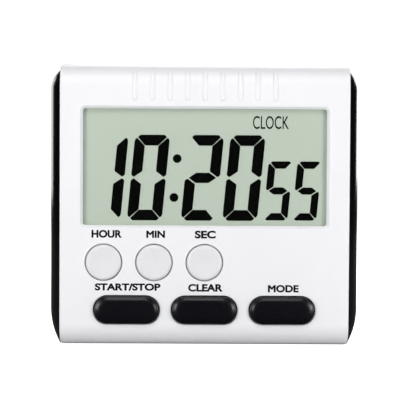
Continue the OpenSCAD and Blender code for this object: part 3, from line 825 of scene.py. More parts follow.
@dataclass
class FrontCover:
    """The white front that wraps round the top and the bottom.

    Attributes:
        depth: How far back it wraps.
        wall: Its wall.
        roll: Radius of its rolled top and bottom.
        corner: Corner radius seen from the front.
        window_side: Border at each side of the window.
        window_low: Height of the window's lower edge.
        window_high: Height of its upper edge.
        window_corner: Corner radius of the window.
        window_edge: Chamfer of the window's rim.
        lip: Width of the rebate for the lens.
        lip_depth: Depth of the rim in front of the lens.
        hole_gap: Gap round a key in its hole.
        hole_edge: Rounding of a hole's rim.
        rib_count: Number of grip ribs.
        rib_pitch: Distance between them.
        rib_width: Width of a rib.
        rib_low: Height of a rib's lower end.
        rib_high: Height of its upper end.
        rib_proud: Height of a rib above the face.
        side_edge: Rounding of the sides' rims.
        boss_radius: Radius of a screw boss.
        boss_depth: How far behind the face it ends.
        boss_inset: How far its middle lies inside the screws' outline.
    """

    depth: float = 11.5
    wall: float = 1.8
    roll: float = 6.0
    corner: float = 1.3
    window_side: float = 6.25
    window_low: float = 33.0
    window_high: float = 64.8
    window_corner: float = 0.7
    window_edge: float = 0.7
    lip: float = 1.3
    lip_depth: float = 1.0
    hole_gap: float = 0.25
    hole_edge: float = 0.15
    rib_count: int = 9
    rib_pitch: float = 4.78
    rib_width: float = 1.5
    rib_low: float = 66.9
    rib_high: float = 74.9
    rib_proud: float = 0.35
    side_edge: float = 0.3
    boss_radius: float = 2.5
    boss_depth: float = 8.0
    boss_inset: float = 1.9
    low: Vector = field(init=False)
    high: Vector = field(init=False)

    def __post_init__(self) -> None:
        """Takes the cover's place from its CAD node."""
        self.low, self.high = corners("front_cover")
        self.low.y = self.high.y - self.depth

    @property
    def face(self) -> float:
        """Depth of the flat front face."""
        return self.low.y

    def rolled_block(self, inset: float, half: float, back: float) -> bpy.types.Object:
        """Makes a block whose front long edges are rolled.

        Args:
            inset: How far it lies inside the cover's outside.
            half: Half of its width.
            back: Depth of its back.

        Returns:
            The block.
        """
        y0 = self.face + inset
        block = add_box((-half, y0, self.low.z + inset), (half, back, self.high.z - inset))
        round_edges(block, lambda e: runs_along(e, 0) and on_plane(e, 1, y0), self.roll - inset, 24)
        return block

    def opening(self, half: float, z0: float, z1: float, y0: float, y1: float) -> bpy.types.Object:
        """Makes a cutter for the window with rounded corners.

        Args:
            half: Half its width.
            z0: Its lowest Z.
            z1: Its highest Z.
            y0: Where it starts in depth.
            y1: Where it ends.

        Returns:
            The cutter.
        """
        block = add_box((-half, y0, z0), (half, y1, z1))
        round_edges(block, lambda e: runs_along(e, 1), self.window_corner, 5)
        return block

    def rib(self) -> bpy.types.Object:
        """Models one grip rib that follows the rolled top.

        Returns:
            The rib.
        """
        radius = self.rib_width / 2
        ball = bpy.ops.mesh.primitive_uv_sphere_add
        rib = add_shape(ball, segments=16, ring_count=12, radius=radius, location=(0, 0, 0))
        stretch = self.rib_high - self.rib_low - 2 * radius
        bpy.ops.object.mode_set(mode="EDIT")
        pick(rib, Pick.VERTS, lambda v: v.co.z > 0.01)
        bpy.ops.transform.translate(value=(0, 0, stretch))
        pick(rib, Pick.EDGES, lambda e: abs(e.verts[0].co.z - e.verts[1].co.z) > stretch * 0.9)
        bpy.ops.mesh.subdivide(number_cuts=14)
        pick(rib, Pick.VERTS, lambda v: True)
        bpy.ops.transform.resize(value=(1, self.rib_proud / radius, 1))
        bpy.ops.transform.translate(value=(0, self.face, self.rib_low + radius))
        bpy.ops.object.mode_set(mode="OBJECT")
        turn_z = self.high.z - self.roll
        for vert in rib.data.vertices:
            rise = vert.co.z - turn_z
            if rise > 0:
                reach = self.roll + self.face - vert.co.y
                angle = math.asin(min(rise / self.roll, 1.0))
                vert.co.y = self.face + self.roll - reach * math.cos(angle)
                vert.co.z = turn_z + reach * math.sin(angle)
        return rib

    def boss(self, x: float, z: float, radius: float, back: float) -> bpy.types.Object:
        """Models one hollow screw boss behind the face.

        Args:
            x: Its middle across.
            z: Its middle in height.
            radius: Its outer radius.
            back: Where it ends in depth.

        Returns:
            The boss.
        """
        peg = add_peg(x, z, radius, self.face + self.wall - 0.1, back, 32)
        bpy.ops.object.mode_set(mode="EDIT")
        pick(peg, Pick.FACES, lambda f: f.normal.y > 0.9)
        bpy.ops.mesh.inset(thickness=radius * 0.55, depth=0)
        bpy.ops.mesh.extrude_region_move(
            TRANSFORM_OT_translate={"value": (0, self.face + self.wall + 1 - back, 0)}
        )
        bpy.ops.object.mode_set(mode="OBJECT")
        return peg

    def build(self, kit: Kit, keys: Sequence["Key"]) -> bpy.types.Object:
        """Models the cover and hands it over.

        Args:
            kit: The finishes.
            keys: The keys that need holes.

        Returns:
            The cover.
        """
        half = self.high.x
        shell = self.rolled_block(0, half + 5, self.high.y)
        outline = add_box((-half, self.face - 1, self.low.z), (half, self.high.y + 1, self.high.z))
        round_edges(outline, lambda e: runs_along(e, 1), self.corner, 6)
        act(shell, outline, Cut.KEEP_COMMON)
        act(shell, self.rolled_block(self.wall, half + 5, self.high.y + 5), Cut.TAKE_AWAY)
        win = half - self.window_side
        front, back = self.face - 1, self.face + self.wall + 1
        act(shell, self.opening(win, self.window_low, self.window_high, front, back), Cut.TAKE_AWAY)
        act(
            shell,
            self.opening(
                win + self.lip,
                self.window_low - self.lip,
                self.window_high + self.lip,
                self.face + self.lip_depth,
                back,
            ),
            Cut.TAKE_AWAY,
        )
        for key in keys:
            act(shell, key.outline(self.hole_gap, front, back), Cut.TAKE_AWAY)
        merge(shell)

        def in_face(edge: bmesh.types.BMEdge, above: bool) -> bool:
            """Picks the sharp edges of the face.

            Args:
                edge: The edge.
                above: True for the window's, False for those of the key holes below it.

            Returns:
                Whether the edge is one of them.
            """
            flat = on_plane(edge, 1, self.face, 0.04) and is_sharp(edge, 0.7)
            inner = all(abs(v.co.x) < win + 0.1 for v in edge.verts)
            return flat and inner and all((v.co.z > self.window_low - 0.1) is above for v in edge.verts)

        def at_side(edge: bmesh.types.BMEdge) -> bool:
            """Picks the sharp edges along the sides.

            Args:
                edge: The edge.

            Returns:
                Whether the edge is one of them.
            """
            outside = all(abs(v.co.x) > half - self.corner - 0.01 for v in edge.verts)
            ahead = all(v.co.y < self.high.y - 0.01 for v in edge.verts)
            return outside and ahead and is_sharp(edge, 0.9)

        round_edges(shell, lambda e: in_face(e, True), self.window_edge, 1)
        round_edges(shell, lambda e: in_face(e, False), self.hole_edge, 3)
        round_edges(shell, at_side, self.side_edge, 3)
        first = self.rib()
        ribs = [
            twin(first, ((i - (self.rib_count - 1) / 2) * self.rib_pitch, 0, 0))
            for i in range(self.rib_count)
        ]
        bpy.data.objects.remove(first)
        low, high = corners("case_screws")
        inset = self.boss_inset
        bosses = [
            self.boss(x, z, self.boss_radius, self.face + self.boss_depth)
            for x in (low.x + inset, high.x - inset)
            for z in (low.z + inset, high.z - inset)
        ]
        cover = join([shell, *ribs, *bosses])
        return hand_over(cover, "front_shell", kit.white_abs, Body.CASE, ["front_cover"], 35)


@dataclass
class Key:
    """A key cap with its flange and stem.

    Attributes:
        label: The key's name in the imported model.
        body: The body that it rides on.
        round_key: True for a round key, False for a long one.
        proud: How far it stands out of the face.
        shoulder: Rounding of its rim.
        swell: Height of its crown, below zero for a dish.
        steps: Width and share of the swell of each ring of the cap, from the rim inwards.
        face: Depth of the cover's face.
        flange: How far the flange passes the cap all round.
        flange_front: Depth of the flange's front behind the face.
        flange_back: Depth of its back behind the face.
        stem: Radius of the stem.
        stem_edge: Rounding of its end.
    """

    label: str
    body: Body
    round_key: bool
    proud: float
    shoulder: float
    swell: float
    steps: Rings
    face: float
    flange: float = 1.0
    flange_front: float = 1.9
    flange_back: float = 2.7
    stem: float = 2.0
    stem_edge: float = 0.3

    def __post_init__(self) -> None:
        """Takes the key's place and size from its CAD node's cap."""
        node = frame["nodes"][self.label + "_button"]
        caps = [v.co / MM for v in node.data.vertices if v.co.y / MM < self.face + 0.3]
        self.left = min(v.x for v in caps)
        self.right = max(v.x for v in caps)
        self.bottom = min(v.z for v in caps)
        self.top = max(v.z for v in caps)

    def outline(self, gap: float, y0: float, y1: float) -> bpy.types.Object:
        """Makes a solid of the key's outline, wider by a gap.

        Args:
            gap: How much wider it is all round.
            y0: Front of the solid.
            y1: Back of the solid.

        Returns:
            The solid.
        """
        radius = (self.top - self.bottom) / 2
        run = (self.right - self.left) / 2 - radius
        x = (self.left + self.right) / 2
        z = (self.top + self.bottom) / 2
        sides = 96 if self.round_key else 72
        peg = add_peg(x, z, radius + gap, y0, y1, sides)
        if run > 0.05:
            bpy.ops.object.mode_set(mode="EDIT")
            for side in (-1, 1):
                pick(peg, Pick.VERTS, lambda v: side * (v.co.x - x) > 0)
                bpy.ops.transform.translate(value=(side * run, 0, 0))
            bpy.ops.object.mode_set(mode="OBJECT")
        return peg

    def build(self, kit: Kit) -> bpy.types.Object:
        """Models the key and hands it over.

        Args:
            kit: The finishes.

        Returns:
            The key.
        """
        front = self.face - self.proud + max(self.swell, 0)
        cap = self.outline(0, front, self.face + self.flange_back)
        round_edges(cap, lambda e: on_plane(e, 1, front), self.shoulder, 8)
        only(cap)
        bpy.ops.object.mode_set(mode="EDIT")
        pick(cap, Pick.FACES, lambda f: f.normal.y < -0.99 and f.calc_area() > 5)
        flat = (self.top - self.bottom) / 2 - self.shoulder
        for wide, share in self.steps:
            bpy.ops.mesh.inset(thickness=wide * flat, depth=share * self.swell)
        bpy.ops.object.mode_set(mode="OBJECT")
        start, end = self.face + self.flange_front, self.face + self.flange_back
        flange = self.outline(self.flange, start, end)
        low, high = corners(self.label + "_button")
        trim = add_box((low.x - 1, self.face, low.z), (high.x + 1, self.face + 5, high.z))
        act(flange, trim, Cut.KEEP_COMMON)
        x, z = (self.left + self.right) / 2, (self.top + self.bottom) / 2
        stem = add_peg(x, z, self.stem, end - 0.1, high.y, 32)
        round_edges(stem, lambda e: on_plane(e, 1, high.y), self.stem_edge, 3)
        act(cap, flange, Cut.ADD)
        act(cap, stem, Cut.ADD)
        finish, slot = ((kit.white_key, "white_key") if self.round_key else (kit.black_key, "black_key"))
        return hand_over(cap, self.label + "_cap", finish, self.body, [self.label + "_button"], 40)


@dataclass
class Legends:
    """The plain words printed under and over the keys.

    Attributes:
        face: Depth of the cover's face.
        thickness: Thickness of the ink.
        weight: How much its strokes are thickened.
        words: Word, centre x, centre z, width and height of each.
    """

    face: float
    thickness: float = 0.02
    weight: float = 0.135
    words: tuple[tuple[str, float, float, float, float], ...] = (
        ("HOUR", -26.64, 30.64, 8.3, 2.15),
        ("MIN", -13.32, 30.6, 5.1, 2.0),
        ("SEC", 0.20, 30.57, 5.7, 2.15),
        ("START/STOP", -20.88, 16.15, 17.9, 2.0),
        ("CLEAR", 0.33, 16.02, 9.5, 2.1),
        ("MODE", 21.58, 15.88, 8.4, 2.05),
    )

    def build(self, kit: Kit) -> None:
        """Prints every word.

        Args:
            kit: The finishes.
        """
        for word, x, z, wide, high in self.words:
            piece = write(word, x, z, wide, high, self.face, self.thickness, self.weight)
            name = "legend_" + word.lower().replace("/", "_")
            hand_over(piece, name, kit.ink, Body.CASE)


def write(
    word: str,
    x: float,
    z: float,
    wide: float,
    high: float,
    back: float,
    thickness: float,
    weight: float,
) -> bpy.types.Object:
    """Makes a flat word that faces the front.

    Args:
        word: What it says.
        x: Its centre across the part.
        z: Its centre's height.
        wide: Its width.
        high: Its height.
        back: Depth of its back, where it lies on the part.
        thickness: Its thickness.
        weight: How much its strokes are thickened.

    Returns:
        The word as a mesh.
    """
    bpy.ops.object.select_all(action="DESELECT")
    bpy.ops.object.text_add(location=(0, 0, 0))
    text = bpy.context.active_object
    text.data.body = word
    text.data.size = 3.0
    text.data.resolution_u = 6
    text.data.extrude = 0.01
    text.data.bevel_depth = weight
    text.data.bevel_resolution = 0
    only(text)
    bpy.ops.object.convert(target="MESH")
    text = bpy.context.active_object
    spans = [[v.co[i] for v in text.data.vertices] for i in range(3)]
    low = [min(s) for s in spans]
    far = [max(s) for s in spans]
    text.data.transform(Matrix.Translation([-(a + b) / 2 for a, b in zip(low, far)]))
    scales = [s / (b - a) for s, a, b in zip((wide, high, thickness), low, far)]
    text.data.transform(Matrix.Diagonal((*scales, 1)))
    text.data.transform(Matrix.Rotation(math.pi / 2, 4, "X"))
    text.data.transform(Matrix.Translation((x, back - thickness / 2, z)))
    merge(text, 0.001, 0.1)
    return text


# ---------------------------------------------------------------- display


class Stroke(Enum):
    """The seven strokes of a digit."""

    TOP = "a"
    UPPER_RIGHT = "b"
    LOWER_RIGHT = "c"
    BOTTOM = "d"
    LOWER_LEFT = "e"
    UPPER_LEFT = "f"
    MIDDLE = "g"


DIGITS: dict[str, str] = {"0": "abcdef", "1": "bc", "2": "abged", "5": "afgcd"}


@dataclass
class Digit:
    """One seven-stroke digit of the display.

    Attributes:
        shape: Which digit it shows.
        x: Centre across the part, at half its height.
        z: Height of its centre.
        width: Its width.
        height: Its height.
        stroke: Width of a stroke.
        front: Depth of the ink's front.
        back: Depth of its back.
        lean: How far it leans to the right for each unit of height.
        gap: Gap between strokes.
    """

    shape: str
    x: float
    z: float
    width: float
    height: float
    stroke: float
    front: float
    back: float
    lean: float = 0.095
    gap: float = 0.26

    def corners_of(self, stroke: Stroke) -> list[tuple[float, float]]:
        """Gives the corners of one stroke before it leans.

        Args:
            stroke: Which stroke.

        Returns:
            Its corners as (x, z) from the digit's centre, in order.
        """
        w, h, t = self.width / 2, self.height / 2, self.stroke
        cut = 0.5 * t
        slip = 0.707 * self.gap
        tip = (cut - slip) / 2
        tip_x, tip_z, inner_z, outer_z = 0.24 * t, 0.07 * t, 0.6 * t, 0.26 * t
        if stroke in (Stroke.TOP, Stroke.BOTTOM):
            up = 1 if stroke is Stroke.TOP else -1
            half = [(w - cut, h), (w - tip - slip, h - tip), (w - t - 0.2 * slip, h - t)]
            left = [(-x, z) for x, z in reversed(half)]
            return [(x, up * z) for x, z in half + left]
        if stroke is Stroke.MIDDLE:
            near = w - tip_x - 1.2 * self.gap
            far = near - 0.68 * t
            return [
                (near, 0), (far, 0.48 * t), (-far, 0.48 * t),
                (-near, 0), (-far, -0.48 * t), (far, -0.48 * t),
            ]
        side = 1 if stroke in (Stroke.UPPER_RIGHT, Stroke.LOWER_RIGHT) else -1
        up = 1 if stroke in (Stroke.UPPER_RIGHT, Stroke.UPPER_LEFT) else -1
        points = [
            (w, h - cut - 0.12 * t),
            (w - 0.06 * t, h - cut + 0.1 * t),
            (w - tip, h - tip - slip),
            (w - t, h - t - 0.6 * slip),
            (w - t, inner_z),
            (w - tip_x, tip_z),
            (w, outer_z),
        ]
        return [(side * x, up * z) for x, z in points]

    def build(self) -> list[bpy.types.Object]:
        """Models the strokes that this digit lights up.

        Returns:
            The strokes.
        """
        pieces = []
        for code in DIGITS[self.shape]:
            spots = self.corners_of(Stroke(code))
            ring = bpy.ops.mesh.primitive_circle_add
            piece = add_shape(ring, vertices=len(spots), fill_type="NGON", location=(0, 0, 0))
            for vert, (px, pz) in zip(piece.data.vertices, spots):
                vert.co = (self.x + px + self.lean * pz, self.back, self.z + pz)
            bpy.ops.object.mode_set(mode="EDIT")
            bpy.ops.mesh.select_all(action="SELECT")
            bpy.ops.mesh.bevel(offset=0.12, segments=2, affect="VERTICES")
            bpy.ops.mesh.select_all(action="SELECT")
            bpy.ops.mesh.extrude_region_move(
                TRANSFORM_OT_translate={"value": (0, self.front - self.back, 0)}
            )
            bpy.ops.mesh.select_all(action="SELECT")
            bpy.ops.mesh.normals_make_consistent(inside=False)
            bpy.ops.object.mode_set(mode="OBJECT")
            pieces.append(piece)
        return pieces


@dataclass
class Display:
    """The window's lens and what the liquid crystal shows.

    Attributes:
        big: Shape and centre of each large digit.
        big_size: Centre's height, width, height and stroke of a large digit.
        small: Shape and centre of each small digit.
        small_size: The same four sizes of a small digit.
        dots: Centre of each dot of the colon.
        dot_radius: Radius of a dot.
        ink: Thickness of the strokes.
    """

    big: tuple[tuple[str, float], ...] = (("1", -26.7), ("0", -15.38), ("2", -0.65), ("0", 10.7))
    big_size: tuple[float, float, float, float] = (45.98, 9.55, 23.4, 2.92)
    small: tuple[tuple[str, float], ...] = (("5", 20.06), ("5", 27.96))
    small_size: tuple[float, float, float, float] = (42.52, 6.75, 16.16, 2.0)
    dots: tuple[tuple[float, float], ...] = ((-7.56, 51.21), (-8.40, 40.58))
    dot_radius: float = 1.2
    ink: float = 0.04

    def build(self, kit: Kit) -> None:
        """Models the lens, the digits, the colon and the mode word.

        Args:
            kit: The finishes.
        """
        low, high = corners("display_lens")
        lens = add_box(low, high)
        round_edges(lens, lambda e: runs_along(e, 1), 0.7, 4)
        soften(lens, 0.12, 2, 60)
        hand_over(lens, "window_lens", kit.window, Body.CASE, ["display_lens"])
        back = corners("front_polariser")[0].y
        front = back - self.ink
        for row, size in ((self.big, self.big_size), (self.small, self.small_size)):
            for shape, x in row:
                strokes = Digit(shape, x, *size, front, back).build()
                name = f"digit_{shape}_at_{int(x + 40)}"
                hand_over(join(strokes), name, kit.segment_black, Body.CASE)
        dots = []
        for x, z in self.dots:
            dot = add_peg(x, z, self.dot_radius, front, back, 40)
            round_edges(dot, lambda e: on_plane(e, 1, front), 0.015, 1)
            dots.append(dot)
        hand_over(join(dots), "colon", kit.segment_black, Body.CASE)
        word = write("CLOCK", 17.98, 61.18, 9.83, 3.55, back, self.ink, 0.012)
        hand_over(word, "mode_word", kit.segment_black, Body.CASE)


# ---------------------------------------------------------------- back


@dataclass
class RearCase:
    """The dark case with its bulged sides, its bay, its recesses and its tubes.

    Attributes:
        edge: Rounding of its sharp edges.
        back: Depth behind which its flat faces are textured.
    """

    edge: float = 0.18
    back: float = 6.5

    def build(self, kit: Kit) -> bpy.types.Object:
        """Refines a merged copy of the CAD case and hands it over.

        Args:
            kit: The finishes.

        Returns:
            The case.
        """
        case = copy_of("rear_case")
        soften(case, self.edge, 2, 38)
        hand_over(case, "rear_shell", kit.black_abs, Body.CASE, ["rear_case"], 32)
        case.data.materials.append(kit.black_textured)
        for face in case.data.polygons:
            if face.normal.y > 0.98 and face.center.y > self.back * MM:
                face.material_index = 1
        return case


@dataclass
class BatteryDoor:
    """The door over the cell, with hooks below and grip lines above.

    Attributes:
        thickness: Thickness of the plate.
        corner: Corner radius of the plate.
        edge: Rounding of its rim.
        line_pitch: Distance between grip lines.
        line_width: Width of a grip line.
        hook: Half the width of a hook.
        hook_x: Place of the hooks to each side.
        hook_low: Lower side of a hook below the door's middle.
        hook_high: Its upper side below the door's middle.
        toe: Thickness of a hook's toe.
    """

    thickness: float = 1.3
    corner: float = 1.0
    edge: float = 0.25
    line_pitch: float = 1.6
    line_width: float = 0.8
    hook: float = 3.0
    hook_x: float = 15.0
    hook_low: float = 5.25
    hook_high: float = 4.05
    toe: float = 0.8

    def build(self, kit: Kit) -> bpy.types.Object:
        """Models the door and hands it over.

        Args:
            kit: The finishes.

        Returns:
            The door.
        """
        low, high = corners("battery_door")
        plate_y = high.y - self.thickness
        foot = corners("battery_door_latch")[1].z - 1.2 + 0.25
        middle = corners("battery_can")
        mid_z = (middle[0].z + middle[1].z) / 2
        half_h = foot - mid_z
        plate = add_box((low.x, plate_y, mid_z - half_h), (high.x, high.y, foot))
        round_edges(plate, lambda e: runs_along(e, 1), self.corner, 5)
        round_edges(plate, lambda e: on_plane(e, 1, high.y), self.edge, 3)
        for i in range(-2, 3):
            x = i * self.line_pitch
            groove = add_box(
                (x - self.line_width / 2, high.y - 0.4, mid_z + 1.5),
                (x + self.line_width / 2, high.y + 1, mid_z + 5),
            )
            round_edges(groove, lambda e: runs_along(e, 1), self.line_width * 0.49, 4)
            act(plate, groove, Cut.TAKE_AWAY)
        hooks = []
        top = mid_z - self.hook_high
        for x in (-self.hook_x, self.hook_x):
            left, right = x - self.hook, x + self.hook
            post = add_box((left, low.y, mid_z - self.hook_low), (right, plate_y + 0.1, top))
            toe = add_box((left, low.y, low.z), (right, low.y + self.toe, top))
            act(post, toe, Cut.ADD)
            soften(post, 0.12, 2, 60)
            hooks.append(post)
        door = join([plate, *hooks])
        return hand_over(
            door, "battery_cover", kit.black_textured, Body.DOOR,
            ["battery_door"], 35,
        )


@dataclass
class Stand:
    """The flip-out stand with its hinge roll, its pins and its sunk panel.

    Attributes:
        thickness: Thickness of the plate.
        pin: Length of a hinge pin.
        pin_radius: Radius of a hinge pin.
        rim: Border round the sunk panel.
        sunk: Depth of the panel.
        corner: Corner radius of the plate and of the panel.
        edge: Rounding of the plate's edges.
        root: How deep a pin stands in the plate.
    """

    thickness: float = 2.2
    pin: float = 1.2
    pin_radius: float = 0.9
    rim: float = 4.0
    sunk: float = 0.3
    corner: float = 2.0
    edge: float = 0.3
    root: float = 1.5

    def build(self, kit: Kit) -> bpy.types.Object:
        """Models the stand and hands it over.

        Args:
            kit: The finishes.

        Returns:
            The stand.
        """
        low, high = corners("stand")
        half = high.x - self.pin
        round_r = self.thickness / 2
        hinge_z = high.z - round_r
        hinge_y = (low.y + high.y) / 2
        plate = add_box((-half, low.y, low.z), (half, high.y, high.z))
        near = self.corner + 0.01
        round_edges(plate, lambda e: runs_along(e, 0) and on_plane(e, 2, high.z), round_r * 0.998, 10)
        round_edges(plate, lambda e: runs_along(e, 1) and on_plane(e, 2, low.z), self.corner, 6)
        round_edges(
            plate,
            lambda e: on_plane(e, 2, low.z, near) and not runs_along(e, 1) or runs_along(e, 2),
            self.edge,
            3,
        )
        panel = add_box(
            (-half + self.rim, high.y - self.sunk, low.z + 2 * self.rim),
            (half - self.rim, high.y + 1, hinge_z - 1.5 * self.rim),
        )
        round_edges(panel, lambda e: runs_along(e, 1), self.corner, 6)
        act(plate, panel, Cut.TAKE_AWAY)
        for side in (-1, 1):
            root = half - self.root
            pin = add_shape(
                bpy.ops.mesh.primitive_cylinder_add,
                vertices=32,
                radius=self.pin_radius,
                depth=high.x - root,
                location=(side * (high.x + root) / 2, hinge_y, hinge_z),
                rotation=(0, math.pi / 2, 0),
            )
            round_edges(pin, lambda e: on_plane(e, 0, side * high.x), 0.2, 2)
            act(plate, pin, Cut.ADD)
        return hand_over(plate, "prop_stand", kit.black_textured, Body.STAND, ["stand"], 35)


@dataclass
class Magnets:
    """The two disc magnets that hold the timer on steel.

    Attributes:
        edge: Chamfer of a magnet's rim.
    """

    edge: float = 0.25

    def build(self, kit: Kit) -> None:
        """Models both magnets and hands them over.

        Args:
            kit: The finishes.
        """
        for side in ("left", "right"):
            low, high = corners(side + "_magnet")
            x, z = (low.x + high.x) / 2, (low.z + high.z) / 2
            disc = add_peg(x, z, (high.x - low.x) / 2, low.y, high.y, 80)
            round_edges(disc, lambda e: not runs_along(e, 1), self.edge, 3)
            hand_over(disc, side + "_magnet_disc", kit.nickel, Body.CASE, [side + "_magnet"], 35)


@dataclass
class Domes:
    """The six rubber domes under the keys, which flatten when a key is pressed; here they keep their shape
    at rest.

    Attributes:
        travel: How far a key goes down; not used.
        edge: Rounding of the domes' edges.
    """

    travel: float = 0.9
    edge: float = 0.06

    def build(self, kit: Kit) -> None:
        """Refines a merged copy of each CAD dome, hands it over and gives it its own mesh.

        Args:
            kit: The finishes.
        """
        for name in KEY_NAMES:
            dome = copy_of(name + "_dome")
            soften(dome, self.edge, 2, 38)
            hand_over(
                dome, name + "_rubber_dome", kit.silicone, Body.CASE,
                [name + "_dome"], 32,
            )
            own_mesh(dome)


class Inside:
    """The CAD nodes that keep their shape and get a better finish."""

    def build(self, kit: Kit) -> None:
        """Dresses every CAD node that is left showing.

        Args:
            kit: The finishes.
        """
        finishes = {
            "front_polariser": kit.polariser,
            "front_glass": kit.glass,
            "rear_glass": kit.glass,
            "reflector": kit.reflector,
            "display_frame": kit.frame_plastic,
            "contact_strip": kit.zebra,
            "circuit_board": kit.board,
            "chip_cover": kit.epoxy,
            "clock_crystal": kit.tin,
            "small_components": kit.ceramic_chip,
            "board_screws": kit.zinc,
            "keypad_sheet": kit.silicone,
            "case_screws": kit.zinc,
            "buzzer_plate": kit.brass,
            "buzzer_ceramic": kit.piezo,
            "buzzer_wires": kit.wire,
            "battery_can": kit.tin,
            "battery_sleeve": kit.sleeve,
            "battery_spring": kit.tin,
            "spring_plate": kit.tin,
            "positive_contact": kit.tin,
            "battery_wires": kit.wire,
            "battery_door_latch": kit.black_textured,
        }
        for key in KEY_NAMES:
            finishes[key + "_pill"] = kit.carbon
        for name, material in finishes.items():
            node = frame["nodes"][name]
            for place in node.material_slots:
                place.material = material
            LOG.info("%s: keeps its CAD shape, finish %s", name, material.name)


# ---------------------------------------------------------------- studio


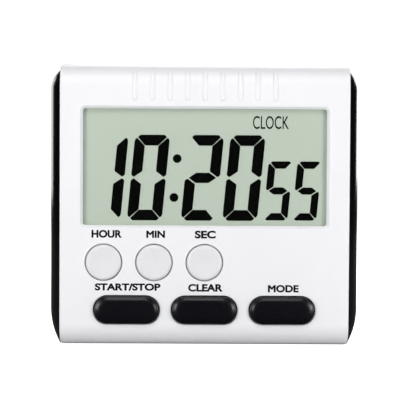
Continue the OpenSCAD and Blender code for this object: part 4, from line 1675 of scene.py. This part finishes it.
@dataclass
class Studio:
    """The pale floor, the soft lights, the world and the camera.

    Attributes:
        eye: Place of the camera in millimetres.
        yaw: Turn of the camera to the right, in radians.
        pitch: Tilt of the camera up, in radians.
        roll: Turn of the camera about its view, in radians.
        lens: Focal length on a 36 mm sensor.
        lamps: Name, place, size and power of each soft lamp.
        bounce: How much light the floor throws back on the timer.
        sheen: How bright the floor is where the gloss mirrors it.
        ambient: Strength of the light from all round.
        mirrored: Strength of the dim room that the gloss mirrors.
        glow: How brightly the floor shows in the view.
        backdrop: How brightly the world shows in the view.
        target: What the lamps point at, in millimetres.
    """

    eye: Point = (-6.03, -468.84, 58.65)
    yaw: float = 0.0103
    pitch: float = -0.0405
    roll: float = 0.0057
    lens: float = 152.24
    lamps: tuple[tuple[str, Point, float, float], ...] = (
        ("left lamp", (-350, -390, 45), 240, 1.56),
        ("right lamp", (360, -390, 40), 200, 1.5),
        ("top lamp", (-30, -400, 430), 240, 0.93),
        ("back left lamp", (-260, 415, 110), 180, 0.2),
        ("back right lamp", (240, 430, 110), 160, 0.26),
        ("back lamp", (80, 420, 360), 300, 2.8),
    )

    bounce: float = 0.56
    sheen: float = 0.08
    ambient: float = 0.14
    mirrored: float = 0.02
    glow: float = 0.93
    backdrop: float = 1.05
    target: Point = (0, 0, 38)

    def floor(self) -> None:
        """Lays the pale floor, which isn't part of the object."""
        floor = add_shape(bpy.ops.mesh.primitive_plane_add, size=8, location=(0, 0, 0))
        floor.name = "floor"
        material = bpy.data.materials.new("pale paper sweep")
        material.use_nodes = True
        tree = material.node_tree
        tree.nodes.clear()
        place = add_node(tree, "ShaderNodeTexCoord").outputs["Object"]
        fibre = add_node(tree, "ShaderNodeTexNoise", {"Scale": 300.0, "Detail": 3.0}, {"Vector": place})
        shades = {"data_type": "RGBA", 6: linear("#f4f4f4"), 7: linear("#fafafa")}
        colour = add_node(tree, "ShaderNodeMix", shades, {0: fibre.outputs["Fac"]})
        bright = add_node(
            tree,
            "ShaderNodeBsdfPrincipled",
            {"Roughness": 0.9, "Emission Color": (1, 1, 1, 1), "Emission Strength": self.glow},
            {"Base Color": colour.outputs[2]},
        )
        path = add_node(tree, "ShaderNodeLightPath")
        span = {"To Min": self.bounce, "To Max": self.sheen}
        shade = add_node(tree, "ShaderNodeMapRange", span, {"Value": path.outputs["Is Glossy Ray"]})
        calm = add_node(tree, "ShaderNodeBsdfDiffuse", links={"Color": shade.outputs[0]})
        mix = add_node(
            tree,
            "ShaderNodeMixShader",
            links={0: path.outputs["Is Camera Ray"], 1: calm.outputs[0], 2: bright.outputs[0]},
        )
        add_node(tree, "ShaderNodeOutputMaterial", links={"Surface": mix.outputs[0]})
        floor.data.materials.append(material)

    def light(self) -> None:
        """Hangs the soft lamps and sets the world."""
        for name, place, size, power in self.lamps:
            data = bpy.data.lights.new(name, "AREA")
            data.size = size * MM
            data.energy = power
            lamp = bpy.data.objects.new(name, data)
            lamp.location = Vector(place) * MM
            aim = Vector(self.target) * MM - lamp.location
            lamp.rotation_euler = aim.to_track_quat("-Z", "Y").to_euler()
            bpy.context.scene.collection.objects.link(lamp)
        world = bpy.data.worlds.new("studio")
        world.use_nodes = True
        tree = world.node_tree
        tree.nodes.clear()
        path = add_node(tree, "ShaderNodeLightPath")
        span = {"To Min": self.ambient, "To Max": self.mirrored}
        around = add_node(tree, "ShaderNodeMapRange", span, {"Value": path.outputs["Is Glossy Ray"]})
        pale = {"Color": (1, 1, 1, 1)}
        soft = add_node(tree, "ShaderNodeBackground", pale, {"Strength": around.outputs[0]})
        white = add_node(tree, "ShaderNodeBackground", {**pale, "Strength": self.backdrop})
        mix = add_node(
            tree,
            "ShaderNodeMixShader",
            links={0: path.outputs["Is Camera Ray"], 1: soft.outputs[0], 2: white.outputs[0]},
        )
        add_node(tree, "ShaderNodeOutputWorld", links={"Surface": mix.outputs[0]})
        bpy.context.scene.world = world
        bpy.context.scene.view_settings.view_transform = "Standard"

    def camera(self) -> None:
        """Sets the camera at its place and angle."""
        level = math.cos(self.pitch)
        ahead = Vector((math.sin(self.yaw) * level, math.cos(self.yaw) * level, math.sin(self.pitch)))
        right = Vector((math.cos(self.yaw), -math.sin(self.yaw), 0))
        up = right.cross(ahead)
        side = math.cos(self.roll) * right + math.sin(self.roll) * up
        top = math.cos(self.roll) * up - math.sin(self.roll) * right
        data = bpy.data.cameras.new("view")
        data.lens = self.lens
        data.sensor_width = 36
        data.clip_start = 0.01
        camera = bpy.data.objects.new("view", data)
        turn = Matrix((side, top, -ahead)).transposed().to_4x4()
        camera.matrix_world = Matrix.Translation(Vector(self.eye) * MM) @ turn
        bpy.context.scene.collection.objects.link(camera)
        bpy.context.scene.camera = camera

    def build(self) -> None:
        """Builds the whole studio."""
        self.floor()
        self.light()
        self.camera()
        LOG.info("studio: floor, %d lamps and the camera", len(self.lamps))


def make_keys(face: float) -> list[Key]:
    """Lists the six keys, each at its CAD place.

    Args:
        face: Y of the face.

    Returns:
        The keys.
    """
    round_keys = (("hour", Body.HOUR), ("minute", Body.MINUTE), ("second", Body.SECOND))
    long_keys = (("start_stop", Body.START_STOP), ("clear", Body.CLEAR), ("mode", Body.MODE))
    dish = ((0.16, 0.1), (0.16, 0.24), (0.18, 0.28), (0.18, 0.22), (0.16, 0.16))
    crown = ((0.12, 0.42), (0.12, 0.29), (0.2, 0.17), (0.24, 0.09), (0.2, 0.03))
    keys = [Key(name, body, True, 0.9, 0.8, -0.4, dish, face) for name, body in round_keys]
    keys += [Key(name, body, False, 1.6, 0.45, 0.42, crown, face) for name, body in long_keys]
    return keys


def main() -> None:
    """Builds the timer's looks in order."""
    logging.basicConfig(level=logging.INFO, format="%(name)s %(message)s")
    kit = Kit()
    Studio().build()
    cover = FrontCover()
    keys = make_keys(cover.face)
    cover.build(kit, keys)
    for key in keys:
        key.build(kit)
    Legends(cover.face).build(kit)
    Display().build(kit)
    RearCase().build(kit)
    BatteryDoor().build(kit)
    Stand().build(kit)
    Magnets().build(kit)
    Domes().build(kit)
    Inside().build(kit)


if __name__ == "__main__":
    main()
